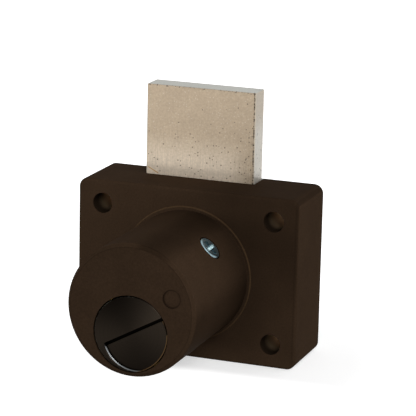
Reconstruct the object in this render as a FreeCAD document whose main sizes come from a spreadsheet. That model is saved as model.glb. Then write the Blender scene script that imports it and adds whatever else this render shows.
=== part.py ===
"""Drawer lock with a square dead bolt, thrown by a quarter turn of a slotted plug.

The round boss goes through a hole in the drawer front, the case is screwed to the
inside, and the bolt rises out of the top edge of the case.

Millimetres. The origin is on the boss axis, in the case's front face, at the centre
of the four mounting holes. +X is to the right, +Z is the way the bolt is thrown and
-Y is towards the person who turns the plug. Rest is the locked state, bolt out.
"""
import FreeCAD, Part
import math
import os
import re
import Sketcher

# Driving dimensions
SIZES = {
    # case, a die casting with the boss in one piece
    "case_width": 62.5,
    "case_height": 46.3,
    "case_depth": 20.3,
    "case_corner": 2.5,
    "case_edge": 0.8,
    "front_wall": 3.0,
    "side_wall": 2.5,
    "end_wall": 2.0,
    "boss_diameter": 34.9,
    "boss_length": 38.5,
    "boss_edge": 0.9,
    "root_land_width": 1.0,
    "root_land_height": 0.3,
    "root_land_edge": 0.25,
    # mounting screw holes
    "hole_diameter": 5.6,
    "hole_inset_side": 7.0,
    "hole_inset_end": 6.4,
    "hole_wall": 1.8,
    # bare round dimple on the boss face
    "dimple_diameter": 4.9,
    "dimple_across": 11.05,
    "dimple_up": 4.4,
    "dimple_depth": 0.4,
    # back cover and its screws
    "cover_thickness": 1.1,
    "cover_ledge": 1.0,
    "cover_fit": 0.1,
    "cover_corner": 1.6,
    "cover_hole_diameter": 6.0,
    "screw_inset_side": 4.75,
    "screw_spacing": 13.0,
    "screw_diameter": 2.5,
    "screw_head": 4.5,
    "screw_head_height": 0.9,
    "screw_length": 8.0,
    "screw_wall": 1.3,
    # dead bolt
    "bolt_width": 31.0,
    "bolt_thickness": 6.6,
    "bolt_shift": 1.35,
    "bolt_reach": 24.8,
    "bolt_throw": 23.8,
    "bolt_fit": 0.1,
    "bolt_side_fit": 0.15,
    "bolt_edge": 0.2,
    "foot_width": 38.4,
    "stop_gap": 0.3,
    "notch_rise": 0.45,
    "notch_play": 0.7,
    "rib_width": 3.2,
    "rib_height": 8.0,
    # drag spring beside the bolt's foot
    "spring_half_length": 10.2,
    "spring_bow": 1.9,
    "spring_leaf": 0.4,
    "spring_width": 5.0,
    "spring_fit": 0.1,
    "pocket_wall": 1.3,
    # cylinder: bore, shell, plug
    "bore_diameter": 20.3,
    "bore_drop": 6.15,
    "bore_depth": 32.0,
    "shell_fit": 0.08,
    "plug_diameter": 11.0,
    "plug_fit": 0.05,
    "head_diameter": 19.9,
    "head_height": 3.1,
    "head_inset": 0.1,
    "head_edge": 0.25,
    "slot_angle": 29.0,
    "slot_width": 0.95,
    "slot_below": 0.3,
    "slot_depth": 1.9,
    "step_depth": 1.0,
    "step_diameter": 17.2,
    "step_along": 0.6,
    "step_below": 1.4,
    "step_bevel": 0.5,
    "step_bevel_angle": 45.0,
    "relief_diameter": 21.2,
    "relief_left": 0.95,
    "relief_up": 0.25,
    "relief_depth": 2.0,
    "plug_tail": 1.6,
    "plug_end_gap": 0.4,
    "clip_thickness": 0.7,
    "clip_outer": 16.0,
    "clip_groove_depth": 0.9,
    "clip_gap": 0.1,
    # index ball in the shell
    "ball_diameter": 2.4,
    "ball_lead": 17.5,
    "index_depth": 0.35,
    "coil_wire": 0.3,
    "coil_turns": 3.0,
    # tailpiece between plug and crank
    "tail_width": 6.0,
    "tail_thickness": 2.3,
    "tail_end_gap": 2.15,
    "tail_slot_depth": 7.0,
    "tail_fit": 0.1,
    "tail_pin": 1.6,
    "tail_pin_back": 3.5,
    # crank that lifts the bolt
    "turn_angle": 90.0,
    "rest_angle": 53.13,
    "spindle_diameter": 12.0,
    "spindle_fit": 0.04,
    "bush_wall": 1.0,
    "bush_fit": 0.02,
    "spindle_lead": 1.6,
    "hub_diameter": 18.0,
    "hub_height": 2.65,
    "arm_width": 8.0,
    "arm_thickness": 4.5,
    "crank_pin": 4.0,
    "collar_diameter": 6.0,
    "collar_height": 0.5,
    "pin_depth": 2.9,
    "washer_thickness": 0.5,
    "washer_gap": 0.05,
    "disc_spring_sheet": 0.35,
    "disc_spring_height": 0.6,
    "ring_thickness": 0.8,
    "ring_outer": 15.2,
    "ring_groove_depth": 0.8,
    # stop pins for the crank
    "stop_pin": 3.0,
    "stop_circle": 14.0,
    "stop_pin_root": 2.2,
    # side screw that holds the shell
    "side_screw_angle": 44.7,
    "side_screw_lead": 8.4,
    "side_screw_head": 6.3,
    "side_screw_head_height": 2.2,
    "side_screw_bevel": 0.3,
    "side_screw_sink": 0.05,
    "side_screw_recess": 7.0,
    "side_screw_thread": 3.5,
    "side_screw_tip": 2.4,
    "side_screw_bite": 1.2,
}

doc = FreeCAD.newDocument("drawer_lock")
sheet = doc.addObject("Spreadsheet::Sheet", "Dims")
for row, (alias, number) in enumerate(SIZES.items(), start=1):
    sheet.set("A%d" % row, alias)
    sheet.set("B%d" % row, str(number))
    sheet.setAlias("B%d" % row, alias)
doc.recompute()


# Places that several pieces share, as expressions of the driving dimensions
CAVITY_HALF_WIDTH = "(case_width / 2 - side_wall)"
CAVITY_HALF_HEIGHT = "(case_height / 2 - end_wall)"
COVER_SEAT = "(case_depth - cover_thickness)"
BOLT_BACK = "(%s - bolt_fit)" % COVER_SEAT
BOLT_FRONT = "(%s - bolt_thickness)" % BOLT_BACK
FOOT_TOP = "(%s - stop_gap)" % CAVITY_HALF_HEIGHT
FOOT_BOTTOM = "(stop_gap + bolt_throw - %s)" % CAVITY_HALF_HEIGHT
CHANNEL_HALF_WIDTH = "(bolt_width / 2 + bolt_side_fit)"
ROOT_LAND_DIAMETER = "(boss_diameter + 2 * root_land_width)"
HOLE_ACROSS = "(case_width - 2 * hole_inset_side)"
HOLE_UP = "(case_height - 2 * hole_inset_end)"
SCREW_ACROSS = "(case_width - 2 * screw_inset_side)"
WEB_FRONT = "(bore_depth - boss_length)"
RING_FRONT = "(%s - 2 * clip_gap - ring_thickness)" % WEB_FRONT
SPINDLE_FRONT = "(%s - spindle_lead)" % RING_FRONT
PLUG_BACK = "(%s - plug_end_gap)" % SPINDLE_FRONT
SHELL_BACK = "(%s - plug_tail)" % PLUG_BACK
CLIP_BACK = "(%s + 2 * clip_gap + clip_thickness)" % SHELL_BACK
HEAD_BACK = "(head_inset + head_height - boss_length)"
BALL_LEVEL = "(%s - ball_lead)" % WEB_FRONT
SIDE_SCREW_LEVEL = "(%s - side_screw_lead)" % WEB_FRONT
SPRING_FACE = "(front_wall + washer_gap + washer_thickness + washer_gap)"
HUB_FRONT = "(%s + disc_spring_height + washer_gap)" % SPRING_FACE
ARM_FRONT = "(%s + hub_height)" % HUB_FRONT
ARM_BACK = "(%s + arm_thickness)" % ARM_FRONT
CRANK_RADIUS = "(bolt_throw / (sin(rest_angle) + sin(turn_angle - rest_angle)))"
PIN_ACROSS = "(%s * cos(rest_angle))" % CRANK_RADIUS
PIN_UP = "(%s * sin(rest_angle) - bore_drop)" % CRANK_RADIUS
STOP_SPREAD = "asin((arm_width / 2 + stop_pin / 2 + stop_gap) / stop_circle)"
SCREW_SEAT = "(boss_diameter / 2 - side_screw_sink - side_screw_head_height)"


# Tools for binding shapes to the sheet
def tied(text):
    """An expression with every alias written as a cell of the sheet."""
    def cell(match):
        word = match.group()
        return "Dims." + word if word in SIZES else word
    return re.sub(r"[a-z_]+", cell, str(text))


def value(text):
    """The number that an expression has now."""
    number = doc.Dims.evalExpression(tied(text))
    return float(getattr(number, "Value", number))


def bind(item, **properties):
    """Tie properties, such as Length, of an object to expressions."""
    for name, text in properties.items():
        item.setExpression(name, tied(text))


def place(item, across="0", back="0", up="0"):
    """Tie an object's place in the lock's frame."""
    bind(item, **{".Placement.Base.x": across, ".Placement.Base.y": back, ".Placement.Base.z": up})


def new_body(label, across="0", back="0", up="0"):
    body = doc.addObject("PartDesign::Body", label)
    body.Label = label
    place(body, across, back, up)
    return body


def new_sketch(body, name, plane="XZ_Plane", back="0", across="0", up="0", turn="0"):
    """A sketch on one of the body's own planes.

    On XZ_Plane the sketch looks from the front, and back moves it along +Y.
    On YZ_Plane its first direction is +Y, which suits turned pieces, and up
    lifts its axis.
    """
    sketch = body.newObject("Sketcher::SketchObject", name)
    support = [item for item in body.Origin.OriginFeatures if item.Role == plane][0]
    sketch.AttachmentSupport = [(support, "")]
    sketch.MapMode = "FlatFace"
    normal_offset = "-(%s)" % back if plane == "XZ_Plane" else back
    bind(sketch, **{
        ".AttachmentOffset.Base.x": across,
        ".AttachmentOffset.Base.y": up,
        ".AttachmentOffset.Base.z": normal_offset,
        ".AttachmentOffset.Rotation.Angle": turn,
    })
    return sketch


def fix_point(sketch, shape, point, across, up):
    """Hold one point of a sketch shape at expressions of the sheet."""
    for kind, text in (("DistanceX", across), ("DistanceY", up)):
        index = sketch.addConstraint(
            Sketcher.Constraint(kind, -1, 1, shape, point, value(text)))
        sketch.setExpression("Constraints[%d]" % index, tied(text))


def circle(sketch, diameter, across="0", up="0"):
    centre = FreeCAD.Vector(value(across), value(up), 0)
    shape = sketch.addGeometry(
        Part.Circle(centre, FreeCAD.Vector(0, 0, 1), value(diameter) / 2), False)
    index = sketch.addConstraint(Sketcher.Constraint("Diameter", shape, value(diameter)))
    sketch.setExpression("Constraints[%d]" % index, tied(diameter))
    fix_point(sketch, shape, 3, across, up)


def outline(sketch, corners):
    """A closed outline of straight lines through the given corners."""
    points = [FreeCAD.Vector(value(across), value(up), 0) for across, up in corners]
    ends = points[1:] + points[:1]
    shapes = [sketch.addGeometry(Part.LineSegment(start, end), False)
              for start, end in zip(points, ends)]
    for shape, following in zip(shapes, shapes[1:] + shapes[:1]):
        sketch.addConstraint(Sketcher.Constraint("Coincident", shape, 2, following, 1))
    for shape, (across, up) in zip(shapes, corners):
        fix_point(sketch, shape, 1, across, up)


def box_outline(sketch, left, right, bottom, top):
    outline(sketch, [(left, bottom), (right, bottom), (right, top), (left, top)])


def feature(body, kind, name, sketch):
    item = body.newObject("PartDesign::" + kind, name)
    item.Profile = sketch
    sketch.Visibility = False
    return item


def pad(body, name, sketch, length, towards="front"):
    """Raise a sketch on XZ_Plane towards the front (-Y) or the back (+Y)."""
    item = feature(body, "Pad", name, sketch)
    item.Reversed = towards == "back"
    bind(item, Length=length)
    return item


def pocket(body, name, sketch, depth, towards="back"):
    """Cut a sketch on XZ_Plane towards the back (+Y) or the front (-Y)."""
    doc.recompute()
    before = body.Shape.Volume
    item = feature(body, "Pocket", name, sketch)
    item.Reversed = towards == "front"
    bind(item, Length=depth)
    doc.recompute()
    check_cut(item, before)
    return item


def turned(body, name, sketch, kind="Revolution"):
    """Turn a sketch about its own first direction."""
    doc.recompute()
    before = body.Shape.Volume if kind == "Groove" else 0
    item = feature(body, kind, name, sketch)
    item.ReferenceAxis = (sketch, ["H_Axis"])
    item.Angle = 360
    doc.recompute()
    if kind == "Groove":
        check_cut(item, before)
    return item


def check_cut(item, before):
    if item.Shape.Volume > before - 1e-3:
        raise RuntimeError("%s cuts nothing" % item.Name)


def soften(body, name, size, chosen, kind="Fillet"):
    """Round or chamfer the edges that a test picks."""
    doc.recompute()
    edges = ["Edge%d" % number for number, edge in enumerate(body.Shape.Edges, start=1)
             if chosen(edge)]
    if not edges:
        raise RuntimeError("%s finds no edge" % name)
    base = body.Tip
    item = body.newObject("PartDesign::" + kind, name)
    item.Base = (base, edges)
    if kind == "Fillet":
        bind(item, Radius=size)
    else:
        bind(item, Size=size)
    doc.recompute()
    return item


def is_round(edge, diameter, back):
    """Whether an edge is a full circle about Y, with this diameter and place."""
    curve = edge.Curve
    if not isinstance(curve, Part.Circle) or not edge.Closed:
        return False
    same_size = abs(curve.Radius - value(diameter) / 2) < 1e-3
    return same_size and abs(curve.Center.y - value(back)) < 1e-3


def runs_along(edge, direction):
    if not isinstance(edge.Curve, Part.Line):
        return False
    return abs(edge.Curve.Direction.dot(direction)) > 0.999


ALONG_Y = FreeCAD.Vector(0, 1, 0)
ALONG_Z = FreeCAD.Vector(0, 0, 1)
SIGNS = [(-1, -1), (1, -1), (1, 1), (-1, 1)]


def corner_places(across, up):
    """The four places at plus and minus half the given spacings."""
    return [("%d * %s / 2" % (side, across), "%d * %s / 2" % (end, up)) for side, end in SIGNS]


# Case: one die casting, the mounting plate with the boss and a cavity behind
def make_housing():
    body = new_body("housing")
    plate = new_sketch(body, "plate_outline")
    box_outline(plate, "-case_width / 2", "case_width / 2", "-case_height / 2", "case_height / 2")
    pad(body, "plate", plate, "case_depth", towards="back")
    soften(body, "plate_corners", "case_corner", lambda edge: runs_along(edge, ALONG_Y))
    soften(body, "plate_front_edge", "case_edge",
           lambda edge: max(abs(vertex.Y) for vertex in edge.Vertexes) < 1e-3)
    round_boss = new_sketch(body, "boss_outline")
    circle(round_boss, "boss_diameter")
    pad(body, "boss", round_boss, "boss_length")
    soften(body, "boss_front_edge", "boss_edge",
           lambda edge: is_round(edge, "boss_diameter", "-boss_length"), kind="Chamfer")
    land = new_sketch(body, "root_land_outline")
    circle(land, ROOT_LAND_DIAMETER)
    pad(body, "root_land", land, "root_land_height")
    soften(body, "root_land_bevel", "root_land_edge",
           lambda edge: is_round(edge, ROOT_LAND_DIAMETER, "-root_land_height"),
           kind="Chamfer")
    cut_cavity(body)
    cut_cover_seat(body)
    raise_cavity_bosses(body)
    raise_bolt_guides(body)
    cut_bores(body)
    return body


def cut_cavity(body):
    """The room for crank and bolt, and the channel that the bolt rises through."""
    room = new_sketch(body, "cavity_outline", back="case_depth")
    box_outline(room, "-" + CAVITY_HALF_WIDTH, CAVITY_HALF_WIDTH,
                "-" + CAVITY_HALF_HEIGHT, CAVITY_HALF_HEIGHT)
    pocket(body, "cavity", room, "case_depth - front_wall", towards="front")
    channel = new_sketch(body, "channel_outline", back="case_depth")
    box_outline(channel, "-%s - bolt_shift" % CHANNEL_HALF_WIDTH,
                "%s - bolt_shift" % CHANNEL_HALF_WIDTH,
                CAVITY_HALF_HEIGHT + " - end_wall", "case_height / 2 + end_wall")
    pocket(body, "bolt_channel", channel, "case_depth - %s + bolt_fit" % BOLT_FRONT,
           towards="front")


def raise_cavity_bosses(body):
    """Pillars round the mounting holes, webbed to the corners, and screw bosses."""
    seat_height = COVER_SEAT + " - front_wall"
    pillars = new_sketch(body, "pillar_outline", back="front_wall")
    for across, up in corner_places(HOLE_ACROSS, HOLE_UP):
        circle(pillars, "hole_diameter + 2 * hole_wall", across, up)
    pad(body, "pillars", pillars, seat_height, towards="back")
    webs = new_sketch(body, "web_outline", back="front_wall")
    for side, end in SIGNS:
        box_outline(webs, "%d * %s / 2" % (side, HOLE_ACROSS),
                    "%d * %s" % (side, CAVITY_HALF_WIDTH),
                    "%d * %s / 2" % (end, HOLE_UP), "%d * %s" % (end, CAVITY_HALF_HEIGHT))
    pad(body, "pillar_webs", webs, seat_height, towards="back")
    screw_bosses = new_sketch(body, "screw_boss_outline", back="front_wall")
    for across, up in corner_places(SCREW_ACROSS, "screw_spacing"):
        circle(screw_bosses, "screw_diameter + 2 * screw_wall", across, up)
    pad(body, "screw_bosses", screw_bosses, seat_height, towards="back")


def raise_bolt_guides(body):
    """Ribs that the bolt's foot slides on, and the pocket of the drag spring."""
    rib_height = BOLT_FRONT + " - bolt_fit - front_wall"
    outer = "foot_width / 2 - cover_ledge / 2"
    guides = new_sketch(body, "guide_outline", back="front_wall")
    box_outline(guides, "-(%s)" % outer, "-(%s - rib_width)" % outer,
                "-" + CAVITY_HALF_HEIGHT, CAVITY_HALF_HEIGHT)
    box_outline(guides, "%s - rib_width" % outer, outer,
                CAVITY_HALF_HEIGHT + " - rib_height", CAVITY_HALF_HEIGHT)
    pad(body, "guide_ribs", guides, rib_height, towards="back")
    face = "-(foot_width / 2 + spring_fit + spring_leaf + spring_bow + spring_fit)"
    lip = "%s + spring_bow" % face
    end = "spring_half_length + spring_fit"
    backing = new_sketch(body, "spring_pocket_outline", back="front_wall")
    outline(backing, [
        ("%s - pocket_wall" % face, "-(%s + pocket_wall)" % end),
        (lip, "-(%s + pocket_wall)" % end),
        (lip, "-(%s)" % end),
        (face, "-(%s)" % end),
        (face, end),
        (lip, end),
        (lip, "%s + pocket_wall" % end),
        ("%s - pocket_wall" % face, "%s + pocket_wall" % end),
    ])
    pad(body, "spring_pocket", backing, COVER_SEAT + " - front_wall", towards="back")


def cover_outline(sketch, play, top):
    """The cover's plate and its tongue, which closes the bolt channel from behind."""
    half_width = "%s + cover_ledge - %s" % (CAVITY_HALF_WIDTH, play)
    half_height = "%s + cover_ledge - %s" % (CAVITY_HALF_HEIGHT, play)
    tongue = "%s - %s" % (CHANNEL_HALF_WIDTH, play)
    tongue_left, tongue_right = "-(%s) - bolt_shift" % tongue, "%s - bolt_shift" % tongue
    outline(sketch, [
        ("-(%s)" % half_width, "-(%s)" % half_height), (half_width, "-(%s)" % half_height),
        (half_width, half_height), (tongue_right, half_height), (tongue_right, top),
        (tongue_left, top), (tongue_left, half_height), ("-(%s)" % half_width, half_height),
    ])


def cut_cover_seat(body):
    seat = new_sketch(body, "cover_seat_outline", back="case_depth")
    cover_outline(seat, "0", "case_height / 2 + end_wall")
    pocket(body, "cover_seat", seat, "cover_thickness", towards="front")


def cut_bores(body):
    holes = new_sketch(body, "mounting_hole_outline")
    for across, up in corner_places(HOLE_ACROSS, HOLE_UP):
        circle(holes, "hole_diameter", across, up)
    pocket(body, "mounting_holes", holes, "case_depth")
    screws = new_sketch(body, "screw_hole_outline", back=COVER_SEAT)
    for across, up in corner_places(SCREW_ACROSS, "screw_spacing"):
        circle(screws, "screw_diameter + bolt_fit", across, up)
    pocket(body, "screw_holes", screws, "screw_length", towards="front")
    bore = new_sketch(body, "bore_outline", back="-boss_length", up="-bore_drop")
    circle(bore, "bore_diameter")
    pocket(body, "bore", bore, "bore_depth")
    bearing = new_sketch(body, "bearing_outline", back="front_wall", up="-bore_drop")
    circle(bearing, "spindle_diameter + 2 * spindle_fit + 2 * bush_wall + 2 * bush_fit")
    pocket(body, "bearing", bearing, "front_wall + bore_depth", towards="front")
    stops = new_sketch(body, "stop_hole_outline", back="front_wall", up="-bore_drop")
    for across, up in stop_places():
        circle(stops, "stop_pin", across, up)
    pocket(body, "stop_holes", stops, "stop_pin_root", towards="front")
    dimple = new_sketch(body, "dimple_outline", back="-boss_length")
    circle(dimple, "dimple_diameter", "dimple_across", "dimple_up")
    pocket(body, "dimple", dimple, "dimple_depth")
    side = new_sketch(body, "side_screw_outline", back=SIDE_SCREW_LEVEL,
                      turn="side_screw_angle")
    mouth = "boss_diameter / 2 + side_screw_sink"
    recess = "side_screw_recess / 2"
    thread = "side_screw_thread / 2 + cover_fit"
    outline(side, [
        ("0", "0"), (mouth, "0"), (mouth, recess), (SCREW_SEAT, recess),
        (SCREW_SEAT, thread), ("0", thread),
    ])
    turned(body, "side_screw_hole", side, kind="Groove")


def stop_places():
    """The two stop pins, in front of and behind the crank's travel."""
    first = "(rest_angle * 1deg + %s)" % STOP_SPREAD
    last = "((rest_angle - turn_angle) * 1deg - %s)" % STOP_SPREAD
    return [("stop_circle * cos(%s)" % angle, "stop_circle * sin(%s)" % angle)
            for angle in (first, last)]


# Back cover: a stamped plate let in flush, with countersunk screws
def make_back_cover():
    body = new_body("back_cover")
    plate = new_sketch(body, "cover_plate_outline", back=COVER_SEAT)
    cover_outline(plate, "cover_fit", "case_height / 2")
    pad(body, "cover_plate", plate, "cover_thickness", towards="back")
    corner = "%s + cover_ledge - cover_fit" % CAVITY_HALF_WIDTH
    soften(body, "cover_corners", "cover_corner", lambda edge:
           runs_along(edge, ALONG_Y) and abs(abs(edge.Vertexes[0].X) - value(corner)) < 1e-3)
    holes = new_sketch(body, "cover_hole_outline", back=COVER_SEAT)
    for across, up in corner_places(HOLE_ACROSS, HOLE_UP):
        circle(holes, "cover_hole_diameter", across, up)
    for across, up in corner_places(SCREW_ACROSS, "screw_spacing"):
        circle(holes, "screw_diameter + 2 * cover_fit", across, up)
    pocket(body, "cover_holes", holes, "cover_thickness")
    soften(body, "countersinks", "(screw_head - screw_diameter) / 2",
           lambda edge: is_round(edge, "screw_diameter + 2 * cover_fit", "case_depth"),
           kind="Chamfer")
    return body


def make_cover_screws():
    """Four countersunk screws with a straight slot, as one group."""
    screws = []
    for number, (across, up) in enumerate(corner_places(SCREW_ACROSS, "screw_spacing"), start=1):
        shank = doc.addObject("Part::Cylinder", "screw_shank_%d" % number)
        bind(shank, Radius="screw_diameter / 2", Height="screw_length - bolt_fit")
        head = doc.addObject("Part::Cone", "screw_head_%d" % number)
        bind(head, Radius1="screw_diameter / 2", Radius2="screw_head / 2",
             Height="screw_head_height")
        place(head, up="screw_length - screw_head_height")
        slot = doc.addObject("Part::Box", "screw_slot_%d" % number)
        bind(slot, Length="screw_head", Width="screw_diameter / 4", Height="screw_head_height / 2")
        place(slot, "-screw_head / 2", "-screw_diameter / 8", "screw_length - screw_head_height / 2")
        blank = doc.addObject("Part::Fuse", "screw_blank_%d" % number)
        blank.Base, blank.Tool = head, shank
        screw = doc.addObject("Part::Cut", "cover_screw_%d" % number)
        screw.Base, screw.Tool = blank, slot
        screw.Placement.Rotation = FreeCAD.Rotation(ALONG_Z, ALONG_Y)
        place(screw, across, "case_depth - screw_length - cover_fit", up)
        screws.append(screw)
    group = doc.addObject("Part::Compound", "cover_screws")
    group.Label = "cover_screws"
    group.Links = screws
    return group


# Dead bolt: a flat bar with a wider foot, and a notch for the crank pin
def make_bolt():
    body = new_body("bolt")
    foot = "foot_width / 2"
    left, right = "-(bolt_width / 2 + bolt_shift)", "bolt_width / 2 - bolt_shift"
    nose = "case_height / 2 + bolt_reach"
    shoulder = "%s - rib_height" % FOOT_TOP
    bar = new_sketch(body, "bolt_outline", back=BOLT_FRONT)
    outline(bar, [
        ("-" + foot, FOOT_BOTTOM), (foot, FOOT_BOTTOM), (foot, FOOT_TOP), (right, FOOT_TOP),
        (right, nose), (left, nose), (left, FOOT_TOP), ("-" + foot, FOOT_TOP),
    ])
    pad(body, "bolt_bar", bar, "bolt_thickness", towards="back")
    level = "%s + notch_rise" % PIN_UP
    half = "(crank_pin / 2 + notch_play)"
    notch = new_sketch(body, "notch_outline", back=BOLT_FRONT)
    box_outline(notch, PIN_ACROSS, "foot_width", "%s - %s" % (level, half),
                "%s + %s" % (level, half))
    pocket(body, "notch", notch, "bolt_thickness")
    notch_end = new_sketch(body, "notch_end_outline", back=BOLT_FRONT)
    circle(notch_end, "crank_pin + 2 * notch_play", PIN_ACROSS, level)
    pocket(body, "notch_end", notch_end, "bolt_thickness")
    soften(body, "bolt_edges", "bolt_edge", lambda edge: bolt_edge_shows(edge, nose),
           kind="Chamfer")
    return body


def bolt_edge_shows(edge, nose):
    """The long edges of the shank and the four edges round the nose."""
    heights = [vertex.Z for vertex in edge.Vertexes]
    at_nose = min(heights) > value(nose) - 1e-3
    up_shank = runs_along(edge, ALONG_Z) and max(heights) > value(nose) - 1e-3
    return at_nose or up_shank


# Drag spring: a bowed leaf that keeps the bolt from dropping by itself
def make_bolt_spring():
    bow_radius = "((spring_half_length ^ 2 + spring_bow ^ 2) / (2 * spring_bow))"
    sweep = "2 * asin(spring_half_length / %s)" % bow_radius
    outer = doc.addObject("Part::Cylinder", "leaf_outer")
    inner = doc.addObject("Part::Cylinder", "leaf_inner")
    bind(outer, Radius=bow_radius, Height="spring_width", Angle=sweep)
    bind(inner, Radius=bow_radius + " - spring_leaf", Height="2 * spring_width")
    place(inner, up="-spring_width / 2")
    leaf = doc.addObject("Part::Cut", "bolt_spring")
    leaf.Label = "bolt_spring"
    leaf.Base, leaf.Tool = outer, inner
    half_turn = FreeCAD.Rotation(ALONG_Y, -value(sweep) / 2)
    leaf.Placement.Rotation = half_turn * FreeCAD.Rotation(ALONG_Z, ALONG_Y)
    place(leaf, "-(foot_width / 2 + spring_fit) - %s" % bow_radius,
          "%s + (bolt_thickness - spring_width) / 2" % BOLT_FRONT)
    return leaf


def make_stop_pins():
    pins = []
    for number, (across, up) in enumerate(stop_places(), start=1):
        pin = doc.addObject("Part::Cylinder", "stop_pin_%d" % number)
        bind(pin, Radius="stop_pin / 2 - bush_fit",
             Height="%s - front_wall + stop_pin_root - bush_fit" % ARM_BACK)
        pin.Placement.Rotation = FreeCAD.Rotation(ALONG_Z, ALONG_Y)
        place(pin, across, "front_wall - stop_pin_root + bush_fit", "%s - bore_drop" % up)
        pins.append(pin)
    group = doc.addObject("Part::Compound", "stop_pins")
    group.Label = "stop_pins"
    group.Links = pins
    return group


# Cylinder: the plug that is turned from the front, its shell, clip and index ball
def make_slotted_plug():
    body = new_body("slotted_plug", up="-bore_drop")
    front = "head_inset - boss_length"
    head, barrel = "head_diameter / 2", "plug_diameter / 2"
    neck = "plug_diameter / 2 - clip_groove_depth"
    profile = new_sketch(body, "plug_profile", plane="YZ_Plane")
    outline(profile, [
        (front, "0"), (front, "%s - head_edge" % head), ("%s + head_edge" % front, head),
        (HEAD_BACK, head), (HEAD_BACK, barrel), (SHELL_BACK, barrel), (SHELL_BACK, neck),
        (CLIP_BACK, neck), (CLIP_BACK, barrel), (PLUG_BACK, barrel), (PLUG_BACK, "0"),
    ])
    turned(body, "plug_turning", profile)
    cut_half_moon(body, front)
    relief = new_sketch(body, "relief_outline", back=front)
    circle(relief, "2 * head_diameter")
    circle(relief, "relief_diameter", "-relief_left", "relief_up")
    pocket(body, "crescent_relief", relief, "relief_depth")
    slot = new_sketch(body, "slot_outline", back=front, turn="slot_angle")
    left = "step_along - sqrt((step_diameter / 2) ^ 2 - step_below ^ 2)"
    box_outline(slot, left, "head_diameter", "-slot_below", "slot_width - slot_below")
    pocket(body, "face_slot", slot, "slot_depth")
    for number, angle in enumerate(("180", "270"), start=1):
        mark = new_sketch(body, "index_outline_%d" % number, back=BALL_LEVEL, turn=angle)
        wide = "ball_diameter / 3"
        outline(mark, [("%s - index_depth" % barrel, "0"), ("plug_diameter", "0"),
                       ("plug_diameter", wide), (barrel, wide)])
        turned(body, "index_mark_%d" % number, mark, kind="Groove")
    tail = new_sketch(body, "tail_slot_outline", back=PLUG_BACK)
    box_outline(tail, "-(tail_width / 2 + tail_fit)", "tail_width / 2 + tail_fit",
                "-(tail_thickness / 2 + tail_fit)", "tail_thickness / 2 + tail_fit")
    pocket(body, "tail_slot", tail, "tail_slot_depth", towards="front")
    cross = new_sketch(body, "cross_hole_outline", back="%s - tail_pin_back" % PLUG_BACK,
                       turn="90")
    outline(cross, [("-plug_diameter", "0"), ("plug_diameter", "0"),
                    ("plug_diameter", "tail_pin / 2"), ("-plug_diameter", "tail_pin / 2")])
    turned(body, "cross_hole", cross, kind="Groove")
    return body


def cut_half_moon(body, front):
    """The lower half of the plug's face, stepped down, with a bevelled mouth."""
    step = half_moon(body, "half_moon_outline", front, "step_diameter")
    pocket(body, "half_moon", step, "step_depth")
    mouth = half_moon(body, "mouth_outline", front, "step_diameter + 2 * step_bevel")
    bevel = feature(body, "Pocket", "half_moon_bevel", mouth)
    bind(bevel, Length="step_bevel", TaperAngle="-step_bevel_angle")


def half_moon(body, name, front, diameter):
    """A sketch of a circle below the slot's line, the circle's centre off the axis."""
    sketch = new_sketch(body, name, back=front, turn="slot_angle")
    radius, along, below = value(diameter) / 2, value("step_along"), value("step_below")
    centre = FreeCAD.Vector(along, -below, 0)
    rise = math.asin(below / radius)
    arc = sketch.addGeometry(Part.ArcOfCircle(
        Part.Circle(centre, FreeCAD.Vector(0, 0, 1), radius), math.pi - rise,
        2 * math.pi + rise), False)
    half = radius * math.cos(rise)
    chord = sketch.addGeometry(Part.LineSegment(
        FreeCAD.Vector(along - half, 0, 0), FreeCAD.Vector(along + half, 0, 0)), False)
    sketch.addConstraint(Sketcher.Constraint("Coincident", arc, 1, chord, 1))
    sketch.addConstraint(Sketcher.Constraint("Coincident", arc, 2, chord, 2))
    sketch.addConstraint(Sketcher.Constraint("PointOnObject", chord, 1, -1))
    sketch.addConstraint(Sketcher.Constraint("PointOnObject", chord, 2, -1))
    index = sketch.addConstraint(Sketcher.Constraint("Diameter", arc, 2 * radius))
    sketch.setExpression("Constraints[%d]" % index, tied(diameter))
    fix_point(sketch, arc, 3, "step_along", "-step_below")
    return sketch


def make_cylinder_shell():
    body = new_body("cylinder_shell", up="-bore_drop")
    outer = "bore_diameter / 2 - shell_fit"
    inner = "plug_diameter / 2 + plug_fit"
    front = "%s + clip_gap" % HEAD_BACK
    profile = new_sketch(body, "shell_profile", plane="YZ_Plane")
    outline(profile, [(front, inner), (front, outer), (SHELL_BACK, outer), (SHELL_BACK, inner)])
    turned(body, "shell_turning", profile)
    seat = new_sketch(body, "screw_seat_outline", back=SIDE_SCREW_LEVEL, up="bore_drop",
                      turn="side_screw_angle")
    start = "%s - side_screw_bite - cover_fit" % tip_contact()
    tip = "side_screw_tip / 2 + cover_fit"
    outline(seat, [(start, "0"), ("boss_diameter / 2", "0"), ("boss_diameter / 2", tip),
                   (start, tip)])
    turned(body, "screw_seat", seat, kind="Groove")
    hole = new_sketch(body, "ball_hole_outline", back=BALL_LEVEL, turn="180")
    wide = "ball_diameter / 2 + 2 * plug_fit"
    outline(hole, [("0", "0"), ("bore_diameter", "0"), ("bore_diameter", wide), ("0", wide)])
    turned(body, "ball_hole", hole, kind="Groove")
    return body


def tip_contact():
    """How far from the boss axis the side screw's axis meets the shell."""
    sine = "sin(side_screw_angle)"
    outer = "(bore_diameter / 2 - shell_fit)"
    return "(sqrt(%s ^ 2 - bore_drop ^ 2 * (1 - %s ^ 2)) - bore_drop * %s)" % (outer, sine, sine)


def make_detent_ball():
    ball = doc.addObject("Part::Sphere", "detent_ball")
    ball.Label = "detent_ball"
    bind(ball, Radius="ball_diameter / 2")
    place(ball, "-(plug_diameter / 2 + plug_fit / 2 + ball_diameter / 2)", BALL_LEVEL,
          "-bore_drop")
    return ball


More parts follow.
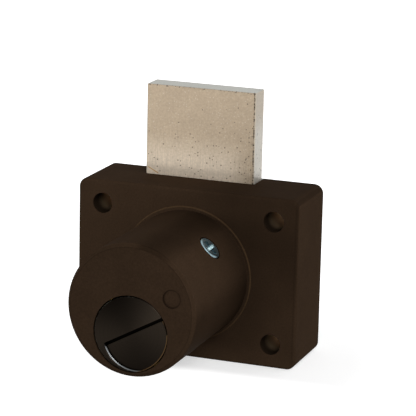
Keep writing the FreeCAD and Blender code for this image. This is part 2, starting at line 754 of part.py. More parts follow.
def make_detent_spring():
    """A short coil between the ball and the wall of the bore, its fine wire drawn square."""
    wire, turns = value("coil_wire"), value("coil_turns")
    start = value("plug_diameter / 2 + plug_fit + ball_diameter + coil_wire / 2")
    length = value("bore_diameter / 2 - shell_fit - coil_wire / 2") - start
    radius = value("ball_diameter / 2") - wire / 2
    line = Part.makeHelix(length / turns, length, radius)
    corners = [FreeCAD.Vector(radius + side * wire / 2, 0, end * wire / 2)
               for side, end in SIGNS]
    section = Part.makePolygon(corners + corners[:1])
    spring = doc.addObject("Part::Feature", "detent_spring")
    spring.Label = "detent_spring"
    spring.Shape = Part.Wire(line.Edges).makePipeShell([section], True, True)
    spring.Placement.Rotation = FreeCAD.Rotation(ALONG_Z, FreeCAD.Vector(-1, 0, 0))
    spring.Placement.Base = FreeCAD.Vector(-start, value(BALL_LEVEL), -value("bore_drop"))
    return spring


def make_open_ring(label, inner, outer, thickness, front):
    """A flat spring ring with a gap at its lower side."""
    body = new_body(label, up="-bore_drop")
    rim = new_sketch(body, label + "_outline", back=front)
    circle(rim, outer)
    circle(rim, inner)
    pad(body, label + "_plate", rim, thickness, towards="back")
    mouth = new_sketch(body, label + "_mouth_outline", back=front)
    outline(mouth, [("0", "0"), ("-(%s) / 2" % outer, "-(%s)" % outer),
                    ("(%s) / 2" % outer, "-(%s)" % outer)])
    pocket(body, label + "_mouth", mouth, thickness)
    return body


def make_plug_clip():
    return make_open_ring("plug_clip", "plug_diameter - 2 * clip_groove_depth + 2 * plug_fit",
                          "clip_outer", "clip_thickness", "%s + clip_gap" % SHELL_BACK)


# Tailpiece: the flat bar that turns the crank, pinned in the plug
def make_tailpiece():
    body = new_body("tailpiece", up="-bore_drop")
    front = "%s - tail_slot_depth + tail_fit" % PLUG_BACK
    bar = new_sketch(body, "tail_outline", back=front)
    box_outline(bar, "-tail_width / 2", "tail_width / 2", "-tail_thickness / 2",
                "tail_thickness / 2")
    pad(body, "tail_bar", bar, "%s - tail_end_gap - (%s)" % (HUB_FRONT, front), towards="back")
    hole = new_sketch(body, "tail_hole_outline", back="%s - tail_pin_back" % PLUG_BACK,
                      turn="90")
    outline(hole, [("-tail_width", "0"), ("tail_width", "0"),
                   ("tail_width", "tail_pin / 2"), ("-tail_width", "tail_pin / 2")])
    turned(body, "tail_hole", hole, kind="Groove")
    return body


def make_tailpiece_pin():
    pin = doc.addObject("Part::Cylinder", "tailpiece_pin")
    pin.Label = "tailpiece_pin"
    bind(pin, Radius="tail_pin / 2 - bush_fit", Height="plug_diameter - 4 * tail_fit")
    place(pin, "0", "%s - tail_pin_back" % PLUG_BACK,
          "-bore_drop - plug_diameter / 2 + 2 * tail_fit")
    return pin


# Crank: spindle, hub and arm in one forging, with its bearing, washers and pin
def make_spindle_bush():
    body = new_body("spindle_bush", up="-bore_drop")
    inner = "spindle_diameter / 2 + spindle_fit"
    profile = new_sketch(body, "bush_profile", plane="YZ_Plane")
    outline(profile, [(WEB_FRONT, inner), (WEB_FRONT, "%s + bush_wall" % inner),
                      ("front_wall", "%s + bush_wall" % inner), ("front_wall", inner)])
    turned(body, "bush_turning", profile)
    return body


def make_drive_crank():
    body = new_body("drive_crank", up="-bore_drop")
    spindle, hub = "spindle_diameter / 2", "hub_diameter / 2"
    groove = "spindle_diameter / 2 - ring_groove_depth"
    profile = new_sketch(body, "crank_profile", plane="YZ_Plane")
    outline(profile, [
        (SPINDLE_FRONT, "0"), (SPINDLE_FRONT, spindle), (RING_FRONT, spindle),
        (RING_FRONT, groove),
        (WEB_FRONT, groove), (WEB_FRONT, spindle), (HUB_FRONT, spindle), (HUB_FRONT, hub),
        (ARM_BACK, hub), (ARM_BACK, "0"),
    ])
    turned(body, "crank_turning", profile)
    arm = new_sketch(body, "arm_outline", back=ARM_FRONT, turn="rest_angle")
    box_outline(arm, "0", CRANK_RADIUS, "-arm_width / 2", "arm_width / 2")
    pad(body, "arm", arm, "arm_thickness", towards="back")
    tip = new_sketch(body, "arm_tip_outline", back=ARM_FRONT, turn="rest_angle")
    circle(tip, "arm_width", CRANK_RADIUS)
    pad(body, "arm_tip", tip, "arm_thickness", towards="back")
    hole = new_sketch(body, "pin_hole_outline", back=ARM_BACK, turn="rest_angle")
    circle(hole, "crank_pin + 2 * bush_fit", CRANK_RADIUS)
    pocket(body, "pin_hole", hole, "pin_depth", towards="front")
    slot = new_sketch(body, "crank_slot_outline", back=SPINDLE_FRONT)
    box_outline(slot, "-(tail_width / 2 + tail_fit)", "tail_width / 2 + tail_fit",
                "-(tail_thickness / 2 + tail_fit)", "tail_thickness / 2 + tail_fit")
    pocket(body, "crank_slot", slot, "%s - %s" % (HUB_FRONT, SPINDLE_FRONT))
    return body


def make_crank_pin():
    body = new_body("crank_pin", PIN_ACROSS, "0", PIN_UP)
    start = "%s - pin_depth + bush_fit" % ARM_BACK
    collar = "%s + collar_height" % ARM_BACK
    end = "%s - bolt_fit" % BOLT_BACK
    profile = new_sketch(body, "pin_profile", plane="YZ_Plane")
    outline(profile, [
        (start, "0"), (start, "crank_pin / 2"), (ARM_BACK, "crank_pin / 2"),
        (ARM_BACK, "collar_diameter / 2"), (collar, "collar_diameter / 2"),
        (collar, "crank_pin / 2"), (end, "crank_pin / 2"), (end, "0"),
    ])
    turned(body, "pin_turning", profile)
    return body


def make_thrust_washer():
    body = new_body("thrust_washer", up="-bore_drop")
    front = "front_wall + washer_gap"
    flat = new_sketch(body, "washer_outline", back=front)
    circle(flat, "hub_diameter")
    circle(flat, "spindle_diameter + 4 * spindle_fit")
    pad(body, "washer_plate", flat, "washer_thickness", towards="back")
    return body


def make_disc_spring():
    """A coned washer that presses on the hub and gives the crank its drag."""
    body = new_body("disc_spring", up="-bore_drop")
    inner, outer = "spindle_diameter / 2 + 4 * spindle_fit", "hub_diameter / 2 - spindle_fit"
    profile = new_sketch(body, "disc_spring_profile", plane="YZ_Plane")
    low = SPRING_FACE
    high = "%s + disc_spring_height" % SPRING_FACE
    outline(profile, [(low, outer), ("%s - disc_spring_sheet" % high, inner), (high, inner),
                      ("%s + disc_spring_sheet" % low, outer)])
    turned(body, "disc_spring_turning", profile)
    return body


def make_spindle_ring():
    return make_open_ring("spindle_ring",
                          "spindle_diameter - 2 * ring_groove_depth + 2 * plug_fit",
                          "ring_outer", "ring_thickness",
                          "%s - clip_gap - ring_thickness" % WEB_FRONT)


# Side screw: holds the shell in the boss, its head sunk in a round recess
def make_side_screw():
    body = new_body("side_screw")
    top = "boss_diameter / 2 - side_screw_sink"
    tip_end = "%s - side_screw_bite" % tip_contact()
    thread_end = "%s + side_screw_tip / 2" % tip_contact()
    head, thread, tip = "side_screw_head / 2", "side_screw_thread / 2", "side_screw_tip / 2"
    profile = new_sketch(body, "side_screw_profile", back=SIDE_SCREW_LEVEL,
                         turn="side_screw_angle")
    outline(profile, [
        (tip_end, "0"), (tip_end, tip), (thread_end, tip), (thread_end, thread),
        (SCREW_SEAT + " + plug_fit", thread), (SCREW_SEAT + " + plug_fit", head),
        ("%s - side_screw_bevel" % top, head), (top, "%s - side_screw_bevel" % head), (top, "0"),
    ])
    turned(body, "side_screw_turning", profile)
    for number, turn in enumerate(("0", "90"), start=1):
        cut_cross_arm(body, number, turn, top)
    return body


def cut_cross_arm(body, number, turn, top):
    """One arm of the cross recess, as a shallow cut through the head."""
    arm = new_sketch(body, "cross_arm_outline_%d" % number, back=SIDE_SCREW_LEVEL,
                     turn="side_screw_angle")
    low = "%s - side_screw_head_height / 2" % top
    if turn == "0":
        reach, depth = "side_screw_head / 12", "side_screw_head / 3"
    else:
        reach, depth = "side_screw_head / 3", "side_screw_head / 12"
    box_outline(arm, low, "%s + side_screw_sink" % top, "-(%s)" % reach, reach)
    doc.recompute()
    before = body.Shape.Volume
    cut = feature(body, "Pocket", "cross_arm_%d" % number, arm)
    cut.Midplane = True
    bind(cut, Length="2 * (%s)" % depth)
    doc.recompute()
    check_cut(cut, before)


MAKERS = [
    make_housing, make_back_cover, make_cover_screws, make_bolt, make_bolt_spring,
    make_stop_pins, make_slotted_plug, make_cylinder_shell, make_detent_ball,
    make_detent_spring, make_plug_clip, make_tailpiece, make_tailpiece_pin,
    make_spindle_bush, make_drive_crank, make_crank_pin, make_thrust_washer,
    make_disc_spring, make_spindle_ring, make_side_screw,
]


def check_document():
    """Stop if any object of the document failed."""
    doc.recompute()
    failed = [item.Name for item in doc.Objects
              if "Invalid" in item.State or "Error" in item.State]
    if failed:
        raise RuntimeError("failed objects: " + ", ".join(failed))


def write(items):
    for item in items:
        if item.Shape.isNull() or not item.Shape.isValid():
            raise RuntimeError("%s has no valid shape" % item.Label)
    os.makedirs("parts", exist_ok=True)
    for item in items:
        item.Shape.exportStep("parts/%s.step" % item.Label)
        print("%-16s %2d solids  %9.2f mm3" % (item.Label, len(item.Shape.Solids),
                                               item.Shape.Volume))


pieces = [maker() for maker in MAKERS]
check_document()
write(pieces)
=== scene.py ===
"""Drawer lock with a square dead bolt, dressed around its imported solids.

Metres, in the lock's own frame: the origin is on the boss axis in the case's front
face, +X is to the right, +Z is the way the bolt is thrown and -Y is towards the
person who turns the plug. Rest is the locked state, with the bolt out.
"""
import math

import bpy
import numpy as np
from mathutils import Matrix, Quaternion, Vector


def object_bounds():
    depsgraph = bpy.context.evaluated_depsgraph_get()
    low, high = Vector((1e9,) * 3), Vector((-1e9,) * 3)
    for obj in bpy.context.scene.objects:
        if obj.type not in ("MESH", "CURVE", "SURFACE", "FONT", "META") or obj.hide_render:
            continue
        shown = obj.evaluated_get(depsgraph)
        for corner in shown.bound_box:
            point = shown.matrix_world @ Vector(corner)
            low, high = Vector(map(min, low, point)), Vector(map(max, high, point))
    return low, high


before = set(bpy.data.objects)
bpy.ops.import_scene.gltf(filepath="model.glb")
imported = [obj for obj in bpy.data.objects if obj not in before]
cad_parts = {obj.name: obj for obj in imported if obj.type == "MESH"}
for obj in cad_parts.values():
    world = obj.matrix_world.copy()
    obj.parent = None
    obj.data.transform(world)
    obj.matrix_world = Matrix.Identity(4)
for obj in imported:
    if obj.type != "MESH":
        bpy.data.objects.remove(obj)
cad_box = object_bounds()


# Camera: a long lens from the front, a little to the right and above, as in the
# photograph. Its turn about its own axis is the photograph's small tilt.
MM = 0.001
VIEW_AZIMUTH = math.radians(20.29)
VIEW_ELEVATION = math.radians(14.02)
VIEW_ROLL = math.radians(1.30)
VIEW_DISTANCE = 605.4 * MM
AIM = Vector((3.73, 5.92, 17.04)) * MM
SENSOR_WIDTH = 36.0
FOCAL_LENGTH = 196.5
NEAREST_SEEN = 0.01
FARTHEST_SEEN = 20.0

to_camera = Vector((
    math.sin(VIEW_AZIMUTH) * math.cos(VIEW_ELEVATION),
    -math.cos(VIEW_AZIMUTH) * math.cos(VIEW_ELEVATION),
    math.sin(VIEW_ELEVATION),
))
camera = bpy.data.objects.new("camera", bpy.data.cameras.new("camera"))
bpy.context.scene.collection.objects.link(camera)
camera.location = AIM + to_camera * VIEW_DISTANCE
camera.rotation_mode = "QUATERNION"
level_view = (-to_camera).to_track_quat("-Z", "Y")
camera.rotation_quaternion = level_view @ Quaternion((0, 0, 1), VIEW_ROLL)
camera.data.sensor_width = SENSOR_WIDTH
camera.data.lens = FOCAL_LENGTH
camera.data.clip_start = NEAREST_SEEN
camera.data.clip_end = FARTHEST_SEEN
bpy.context.scene.camera = camera
bpy.context.scene.view_settings.view_transform = "Standard"


# Room: it shows white to the eye and in the metal's reflections. The soft light that it
# gives differs from wall to wall, and each wall's share fades towards its neighbours.
LIGHT_LEFT_FRONT_BELOW = (0.25, 0.25, 0.10)
LIGHT_RIGHT_BACK_ABOVE = (1.20, 1.20, 0.10)
HALF_EACH_WAY = (0.5, 0.5, 0.5)
WHITE = (1, 1, 1, 1)


def add(tree, kind, feeds=None, **settings):
    """Add one node with its settings, and give its inputs numbers, colours or links.

    A Mix node's inputs go by number: 0 or 1 is the factor, 2 and 3 are its numbers, 4 and 5
    its vectors, 6 and 7 its colours.
    """
    node = tree.nodes.new("ShaderNode" + kind)
    for name, setting in settings.items():
        setattr(node, name, setting)
    for name, feed in (feeds or {}).items():
        if isinstance(feed, bpy.types.NodeSocket):
            tree.links.new(feed, node.inputs[name])
        else:
            node.inputs[name].default_value = feed
    return node


world = bpy.data.worlds.new("white_room")
bpy.context.scene.world = world
world.use_nodes = True
room = world.node_tree
room.nodes.clear()
rays = add(room, "LightPath")
eye_or_gloss = add(room, "Math", {0: rays.outputs["Is Camera Ray"],
                                  1: rays.outputs["Is Glossy Ray"]}, operation="MAXIMUM")
seen = add(room, "Math", {0: eye_or_gloss.outputs[0],
                          1: rays.outputs["Is Transmission Ray"]}, operation="MAXIMUM")
direction = add(room, "TexCoord").outputs["Generated"]
side = add(room, "VectorMath", {0: direction}, operation="SIGN")
side_share = add(room, "VectorMath", {0: side.outputs[0], 1: HALF_EACH_WAY, 2: HALF_EACH_WAY},
                 operation="MULTIPLY_ADD")
walls = add(room, "Mix", {1: side_share.outputs[0], 4: LIGHT_LEFT_FRONT_BELOW,
                          5: LIGHT_RIGHT_BACK_ABOVE}, data_type="VECTOR",
            factor_mode="NON_UNIFORM")
squares = add(room, "VectorMath", {0: direction, 1: direction}, operation="MULTIPLY")
soft_light = add(room, "VectorMath", {0: squares.outputs[0], 1: walls.outputs[1]},
                 operation="DOT_PRODUCT")
level = add(room, "Mix", {0: seen.outputs[0], 2: soft_light.outputs["Value"], 3: 1.0})
surround = add(room, "Background", {"Color": WHITE, "Strength": level.outputs[0]})
add(room, "OutputWorld", {"Surface": surround.outputs[0]})


# Lamps: four white soft boxes, turned towards the lock. The one above the camera, a
# little to its right, and the low one at the front left give most of the light.
def soft_box(name, place, size, power):
    """A square area lamp, its place and size in metres, turned towards the lock."""
    lamp = bpy.data.lights.new(name, "AREA")
    lamp.size = size
    lamp.energy = power
    stand = bpy.data.objects.new(name, lamp)
    bpy.context.scene.collection.objects.link(stand)
    stand.location = place
    stand.rotation_mode = "QUATERNION"
    stand.rotation_quaternion = (-Vector(place)).to_track_quat("-Z", "Y")


soft_box("right_soft_box", place=(0.42, 0.20, 0.16), size=0.30, power=0.4)
soft_box("high_soft_box", place=(0.55, -0.15, 0.50), size=0.30, power=0.4)
soft_box("eye_soft_box", place=(0.35, -0.60, 0.42), size=0.30, power=2.9)
soft_box("low_soft_box", place=(-0.50, -0.50, 0.0), size=0.35, power=2.6)


# Floor: a matt white board under the case. To the eye it is lifted to plain white, so
# that only the soft shadow at the right of the case's foot is left on it. Reflections
# meet plain white, and the light that it gives back is a duller board's.
FLOOR_SIZE = 6.0
FLOOR_SEEN = (0.66, 0.66, 0.66, 1)
FLOOR_BOUNCE = (0.60, 0.60, 0.60, 1)
FLOOR_LIFT = 0.505
SHADOW_FRONT = -16.0 * MM
SHADOW_LEFT = -12.0 * MM
SHADOW_FADE = 10.0 * MM
SHADOW_REACH = 50.0 * MM
SHADOW_END = 80.0 * MM

half = FLOOR_SIZE / 2
foot = cad_box[0].z
floor_mesh = bpy.data.meshes.new("floor")
floor_mesh.from_pydata(
    [(-half, -half, foot), (half, -half, foot), (half, half, foot), (-half, half, foot)],
    [], [(0, 1, 2, 3)])
floor = bpy.data.objects.new("floor", floor_mesh)
bpy.context.scene.collection.objects.link(floor)
board = bpy.data.materials.new("matt_white_board")
board.use_nodes = True
tree = board.node_tree
tree.nodes.clear()
rays = add(tree, "LightPath")
place = add(tree, "TexCoord").outputs["Object"]
spot = add(tree, "SeparateXYZ", {0: place})
inward = add(tree, "MapRange", {"Value": spot.outputs["Y"], "From Min": SHADOW_FRONT,
                                "From Max": SHADOW_FRONT + SHADOW_FADE},
             interpolation_type="SMOOTHSTEP")
rightward = add(tree, "MapRange", {"Value": spot.outputs["X"], "From Min": SHADOW_LEFT,
                                   "From Max": SHADOW_LEFT + SHADOW_FADE},
                interpolation_type="SMOOTHSTEP")
from_lock = add(tree, "VectorMath", {0: place}, operation="LENGTH")
nearby = add(tree, "MapRange", {"Value": from_lock.outputs["Value"], "From Min": SHADOW_REACH,
                                "From Max": SHADOW_END, "To Min": 1.0, "To Max": 0.0},
             interpolation_type="SMOOTHSTEP")
quarter = add(tree, "Math", {0: inward.outputs[0], 1: rightward.outputs[0]},
              operation="MULTIPLY")
kept = add(tree, "Math", {0: quarter.outputs[0], 1: nearby.outputs[0]}, operation="MULTIPLY")
fade = add(tree, "MapRange", {"Value": kept.outputs[0], "To Min": 1.0, "To Max": FLOOR_LIFT})
matt = add(tree, "BsdfDiffuse", {"Color": FLOOR_SEEN})
dull = add(tree, "BsdfDiffuse", {"Color": FLOOR_BOUNCE})
lift = add(tree, "Emission", {"Color": WHITE, "Strength": fade.outputs[0]})
white = add(tree, "Emission", {"Color": WHITE, "Strength": 1.0})
lifted = add(tree, "AddShader", {0: matt.outputs[0], 1: lift.outputs[0]})
to_eye = add(tree, "MixShader", {0: rays.outputs["Is Camera Ray"], 1: dull.outputs[0],
                                 2: lifted.outputs[0]})
to_gloss = add(tree, "MixShader", {0: rays.outputs["Is Glossy Ray"], 1: to_eye.outputs[0],
                                   2: white.outputs[0]})
add(tree, "OutputMaterial", {"Surface": to_gloss.outputs[0]})
floor.data.materials.append(board)


# Housing: a zinc die casting under a dark bronze powder coat, matt, with the fine peel
# of melted grains. The land's edge at the boss's root is lighter: thin coat and a painted
# highlight. Its gloss is set very low, or the white room would lay a grey veil on it.
COAT_COLOUR = "#31251B"
COAT_THIN_HIGHLIGHT = "#403122"
COAT_GLOSS = 0.003
COAT_GLOSS_TINT = (0.30, 0.18, 0.11, 1.0)
COAT_PATCH = 7.0 * MM
COAT_DRIFT = 0.06
PEEL = 0.45 * MM
PEEL_SPREAD = 0.25
PEEL_MOTTLE = 0.14
PEEL_STRENGTH = 0.18
PEEL_HEIGHT = 0.02 * MM
COAT_SMOOTH = 0.62
COAT_ROUGH = 0.78
BOSS_RADIUS = 17.45 * MM
BOSS_FRONT = -38.5 * MM
LAND_RADIUS = 18.45 * MM
LAND_BEVEL = 0.25 * MM
BEFORE_LAND = -0.4 * MM
# a noise pattern's values lie round 0.5, most of them within this spread
NOISE_SPREAD = 0.2
# widths over which masks fade, and how near to a face a place counts as on it
SOFT = 0.05 * MM
SHARP = 0.02 * MM
SKIN = 0.1 * MM


def linear(code):
    """The linear colour of an sRGB hex code."""
    parts = [int(code[start:start + 2], 16) / 255 for start in (1, 3, 5)]
    return [part / 12.92 if part <= 0.04045 else ((part + 0.055) / 1.055) ** 2.4
            for part in parts] + [1.0]


def new_material(name):
    """A material with one Principled shader, whose patterns read Object coordinates."""
    material = bpy.data.materials.new(name)
    material.use_nodes = True
    tree = material.node_tree
    tree.nodes.clear()
    place = add(tree, "TexCoord").outputs["Object"]
    shader = add(tree, "BsdfPrincipled")
    add(tree, "OutputMaterial", {"Surface": shader.outputs[0]})
    return material, tree, place, shader


def feed_shader(tree, shader, colour, gloss, relief):
    """Link a material's mixed colour, its roughness and its relief to its shader."""
    tree.links.new(colour.outputs[2], shader.inputs["Base Color"])
    tree.links.new(gloss.outputs[0], shader.inputs["Roughness"])
    tree.links.new(relief.outputs[0], shader.inputs["Normal"])


def dress(material, *nodes):
    """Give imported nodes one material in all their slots."""
    for name in nodes:
        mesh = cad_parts[name].data
        for slot in range(len(mesh.materials)):
            mesh.materials[slot] = material
        if not mesh.materials:
            mesh.materials.append(material)


def reach_from(tree, place, across, up):
    """Distance from an axis along Y through (across, up), as a socket in metres."""
    moved = add(tree, "VectorMath", {0: place, 1: (-across, 0, -up)}, operation="ADD")
    flat = add(tree, "VectorMath", {0: moved.outputs[0], 1: (1, 0, 1)}, operation="MULTIPLY")
    return add(tree, "VectorMath", {0: flat.outputs[0]}, operation="LENGTH").outputs["Value"]


def band(tree, value, low, high, soft):
    """A mask that is 1 between two values and falls to 0 over a soft width."""
    rise = add(tree, "MapRange", {"Value": value, "From Min": low - soft, "From Max": low})
    fall = add(tree, "MapRange", {"Value": value, "From Min": high, "From Max": high + soft,
                                  "To Min": 1.0, "To Max": 0.0})
    return add(tree, "Math", {0: rise.outputs[0], 1: fall.outputs[0]},
               operation="MULTIPLY").outputs[0]


coat, tree, place, shader = new_material("dark_bronze_powder_coat")
patches = add(tree, "TexNoise", {"Vector": place, "Scale": 1 / COAT_PATCH, "Detail": 3.0})
peel = add(tree, "TexNoise", {"Vector": place, "Scale": 1 / PEEL, "Detail": 2.0})
drift = add(tree, "MapRange", {"Value": patches.outputs[0], "From Min": 0.5 - NOISE_SPREAD,
                               "From Max": 0.5 + NOISE_SPREAD, "To Min": 1 - COAT_DRIFT,
                               "To Max": 1 + COAT_DRIFT})
mottle = add(tree, "MapRange", {"Value": peel.outputs[0], "From Min": 0.5 - PEEL_SPREAD,
                                "From Max": 0.5 + PEEL_SPREAD, "To Min": 1 - PEEL_MOTTLE,
                                "To Max": 1 + PEEL_MOTTLE})
shade = add(tree, "Math", {0: drift.outputs[0], 1: mottle.outputs[0]}, operation="MULTIPLY")
from_axis = reach_from(tree, place, 0, 0)
spot = add(tree, "SeparateXYZ", {0: place})
depth = spot.outputs["Y"]
# the land's bevel is a lighter brown: thin coat, and a painted highlight on it
land_edge = band(tree, from_axis, LAND_RADIUS - LAND_BEVEL, LAND_RADIUS, SOFT)
at_root = band(tree, depth, BEFORE_LAND, 0.0, SOFT)
thin_highlight = add(tree, "Math", {0: land_edge, 1: at_root}, operation="MULTIPLY")
colour = add(tree, "Mix", {0: thin_highlight.outputs[0], 6: linear(COAT_COLOUR), 7: linear(COAT_THIN_HIGHLIGHT)},
             data_type="RGBA")
shaded = add(tree, "Mix", {0: 1.0, 6: colour.outputs[2], 7: shade.outputs[0]},
             data_type="RGBA", blend_type="MULTIPLY")

# painted shade darkens the coat in the corner between boss and case, most at the right,
# and twice as far out along the boss as over the case
CORNER_REACH = 14.0 * MM
CORNER_SHADE_TONE = 0.72
CORNER_LEFT = -6.0 * MM
CORNER_RIGHT = 10.0 * MM
CORNER_LEFT_SHARE = 0.1
ALONG_BOSS = 0.5
from_flank = add(tree, "Math", {0: from_axis, 1: -BOSS_RADIUS}, operation="ADD")
along_flank = add(tree, "Math", {0: depth, 1: ALONG_BOSS}, operation="MULTIPLY")
off_corner = add(tree, "CombineXYZ", {0: from_flank.outputs[0], 1: along_flank.outputs[0]})
from_corner = add(tree, "VectorMath", {0: off_corner.outputs[0]}, operation="LENGTH")
near_corner = add(tree, "MapRange", {"Value": from_corner.outputs["Value"],
                                     "From Max": CORNER_REACH, "To Min": 1.0, "To Max": 0.0},
                  interpolation_type="SMOOTHSTEP")
right_share = add(tree, "MapRange", {"Value": spot.outputs["X"], "From Min": CORNER_LEFT,
                                     "From Max": CORNER_RIGHT, "To Min": CORNER_LEFT_SHARE})
corner_shade = add(tree, "Math", {0: near_corner.outputs[0], 1: right_share.outputs[0]},
            operation="MULTIPLY")
corner_shade_factor = add(tree, "MapRange", {"Value": corner_shade.outputs[0], "To Min": 1.0,
                                "To Max": CORNER_SHADE_TONE})
corner_shaded = add(tree, "Mix", {0: 1.0, 6: shaded.outputs[2], 7: corner_shade_factor.outputs[0]},
               data_type="RGBA", blend_type="MULTIPLY")

# painted light and shade on the boss's flank: a painted highlight at the upper right and
# left of the top, and a painted dark streak between; the tones go by the cosine of the
# angle from the lightest and from the darkest line
FLANK_LIGHTEST = math.radians(34)
HIGHLIGHT_STARTS = 0.76
HIGHLIGHT_FULL = 0.985
OFF_HIGHLIGHT_TONE = 0.80
FLANK_HIGHLIGHT_TONE = 1.24
FLANK_DARKEST = math.radians(70)
SHADE_STREAK_STARTS = 0.94
SHADE_STREAK_TONE = 0.78
TOP_RIGHT = 8.0 * MM
TOP_RIGHT_TONE = 0.96
TOP_LEFT = -3.0 * MM
TOP_LEFT_TONE = 1.42
around = add(tree, "Math", {0: spot.outputs["Z"], 1: spot.outputs["X"]}, operation="ARCTAN2")
off_light = add(tree, "Math", {0: around.outputs[0], 1: FLANK_LIGHTEST}, operation="SUBTRACT")
facing = add(tree, "Math", {0: off_light.outputs[0]}, operation="COSINE")
flank_highlight = add(tree, "MapRange", {"Value": facing.outputs[0], "From Min": HIGHLIGHT_STARTS,
                                 "From Max": HIGHLIGHT_FULL, "To Min": OFF_HIGHLIGHT_TONE,
                                 "To Max": FLANK_HIGHLIGHT_TONE}, interpolation_type="SMOOTHSTEP")
top_left_light = add(tree, "MapRange", {"Value": spot.outputs["X"], "From Min": TOP_RIGHT,
                                  "From Max": TOP_LEFT, "To Min": TOP_RIGHT_TONE,
                                  "To Max": TOP_LEFT_TONE})
off_dark = add(tree, "Math", {0: around.outputs[0], 1: FLANK_DARKEST}, operation="SUBTRACT")
facing_dark = add(tree, "Math", {0: off_dark.outputs[0]}, operation="COSINE")
shade_streak = add(tree, "MapRange", {"Value": facing_dark.outputs[0], "From Min": SHADE_STREAK_STARTS,
                                "To Min": 1.0, "To Max": SHADE_STREAK_TONE},
             interpolation_type="SMOOTHSTEP")
highlighted_top = add(tree, "Math", {0: flank_highlight.outputs[0], 1: top_left_light.outputs[0]},
                 operation="MULTIPLY")
flank_light_and_shade = add(tree, "Math", {0: highlighted_top.outputs[0], 1: shade_streak.outputs[0]},
                 operation="MULTIPLY")
on_flank = band(tree, from_axis, BOSS_RADIUS - SKIN, BOSS_RADIUS + SKIN, SOFT)
flank_factor = add(tree, "Mix", {0: on_flank, 2: 1.0, 3: flank_light_and_shade.outputs[0]})

# the boss's bevelled rim has a painted highlight, crossed by a stronger painted dark
# streak, and a fine dark line runs round the face inside it
BOSS_CHAMFER = 0.9 * MM
FACE_RADIUS = BOSS_RADIUS - BOSS_CHAMFER
RIM_HIGHLIGHT_TONE = 1.15
RIM_STREAK_POWER = 2.0
FACE_LINE = 0.15 * MM
FACE_LINE_FADE = 0.08 * MM
FACE_LINE_TONE = 0.8
rim_depth = band(tree, depth, BOSS_FRONT + SHARP, BOSS_FRONT + BOSS_CHAMFER, SHARP)
rim_reach = band(tree, from_axis, FACE_RADIUS, BOSS_RADIUS, SOFT)
on_rim = add(tree, "Math", {0: rim_depth, 1: rim_reach}, operation="MULTIPLY")
rim_shade_streak = add(tree, "Math", {0: shade_streak.outputs[0], 1: RIM_STREAK_POWER}, operation="POWER")
rim_highlight = add(tree, "Math", {0: rim_shade_streak.outputs[0], 1: RIM_HIGHLIGHT_TONE}, operation="MULTIPLY")
rim_factor = add(tree, "Mix", {0: on_rim.outputs[0], 2: 1.0, 3: rim_highlight.outputs[0]})
face_edge = band(tree, from_axis, FACE_RADIUS - FACE_LINE, FACE_RADIUS, FACE_LINE_FADE)
on_front = band(tree, depth, BOSS_FRONT, BOSS_FRONT + SKIN, SHARP)
line_share = add(tree, "Math", {0: face_edge, 1: on_front}, operation="MULTIPLY")
line_tone = add(tree, "MapRange", {"Value": line_share.outputs[0], "To Min": 1.0,
                                   "To Max": FACE_LINE_TONE})
edge_factor = add(tree, "Math", {0: rim_factor.outputs[0], 1: line_tone.outputs[0]},
                  operation="MULTIPLY")
boss_factor = add(tree, "Math", {0: flank_factor.outputs[0], 1: edge_factor.outputs[0]},
                  operation="MULTIPLY")
flanked = add(tree, "Mix", {0: 1.0, 6: corner_shaded.outputs[2], 7: boss_factor.outputs[0]},
              data_type="RGBA", blend_type="MULTIPLY")

# painted light on the case: its coat, and its right side, are painted lighter than the
# boss's, with painted shade over its upper right and along the rounded edge at its right
CASE_SIDE = 31.25 * MM
CASE_LIGHT_TONE = 1.28
UPPER_RIGHT_SHADE_TONE = 0.86
DIAGONAL_START = 20.0 * MM
DIAGONAL_END = 40.0 * MM
SIDE_SKIN = 0.15 * MM
SIDE_LIGHT_TONE = 1.05
EDGE_IN = 0.9 * MM
EDGE_OUT = 0.3 * MM
EDGE_FADE = 0.15 * MM
EDGE_SHADE_TONE = 0.85
on_case = add(tree, "MapRange", {"Value": depth, "From Min": BEFORE_LAND - SKIN,
                                 "From Max": BEFORE_LAND})
diagonal = add(tree, "Math", {0: spot.outputs["X"], 1: spot.outputs["Z"]}, operation="ADD")
case_light = add(tree, "MapRange", {"Value": diagonal.outputs[0], "From Min": DIAGONAL_START,
                                   "From Max": DIAGONAL_END, "To Min": CASE_LIGHT_TONE,
                                   "To Max": UPPER_RIGHT_SHADE_TONE},
                interpolation_type="SMOOTHSTEP")
at_side = add(tree, "MapRange", {"Value": spot.outputs["X"],
                                 "From Min": CASE_SIDE - SIDE_SKIN - SKIN,
                                 "From Max": CASE_SIDE - SIDE_SKIN})
case_side_light = add(tree, "Mix", {0: at_side.outputs[0], 2: case_light.outputs[0], 3: SIDE_LIGHT_TONE})
edge_shade = band(tree, spot.outputs["X"], CASE_SIDE - EDGE_IN, CASE_SIDE - EDGE_OUT, EDGE_FADE)
edge_shade_factor = add(tree, "MapRange", {"Value": edge_shade, "To Min": 1.0, "To Max": EDGE_SHADE_TONE})
case_light_and_shade = add(tree, "Math", {0: case_side_light.outputs[0], 1: edge_shade_factor.outputs[0]},
                 operation="MULTIPLY")
case_factor = add(tree, "Mix", {0: on_case.outputs[0], 2: 1.0, 3: case_light_and_shade.outputs[0]})
cased = add(tree, "Mix", {0: 1.0, 6: flanked.outputs[2], 7: case_factor.outputs[0]},
            data_type="RGBA", blend_type="MULTIPLY")

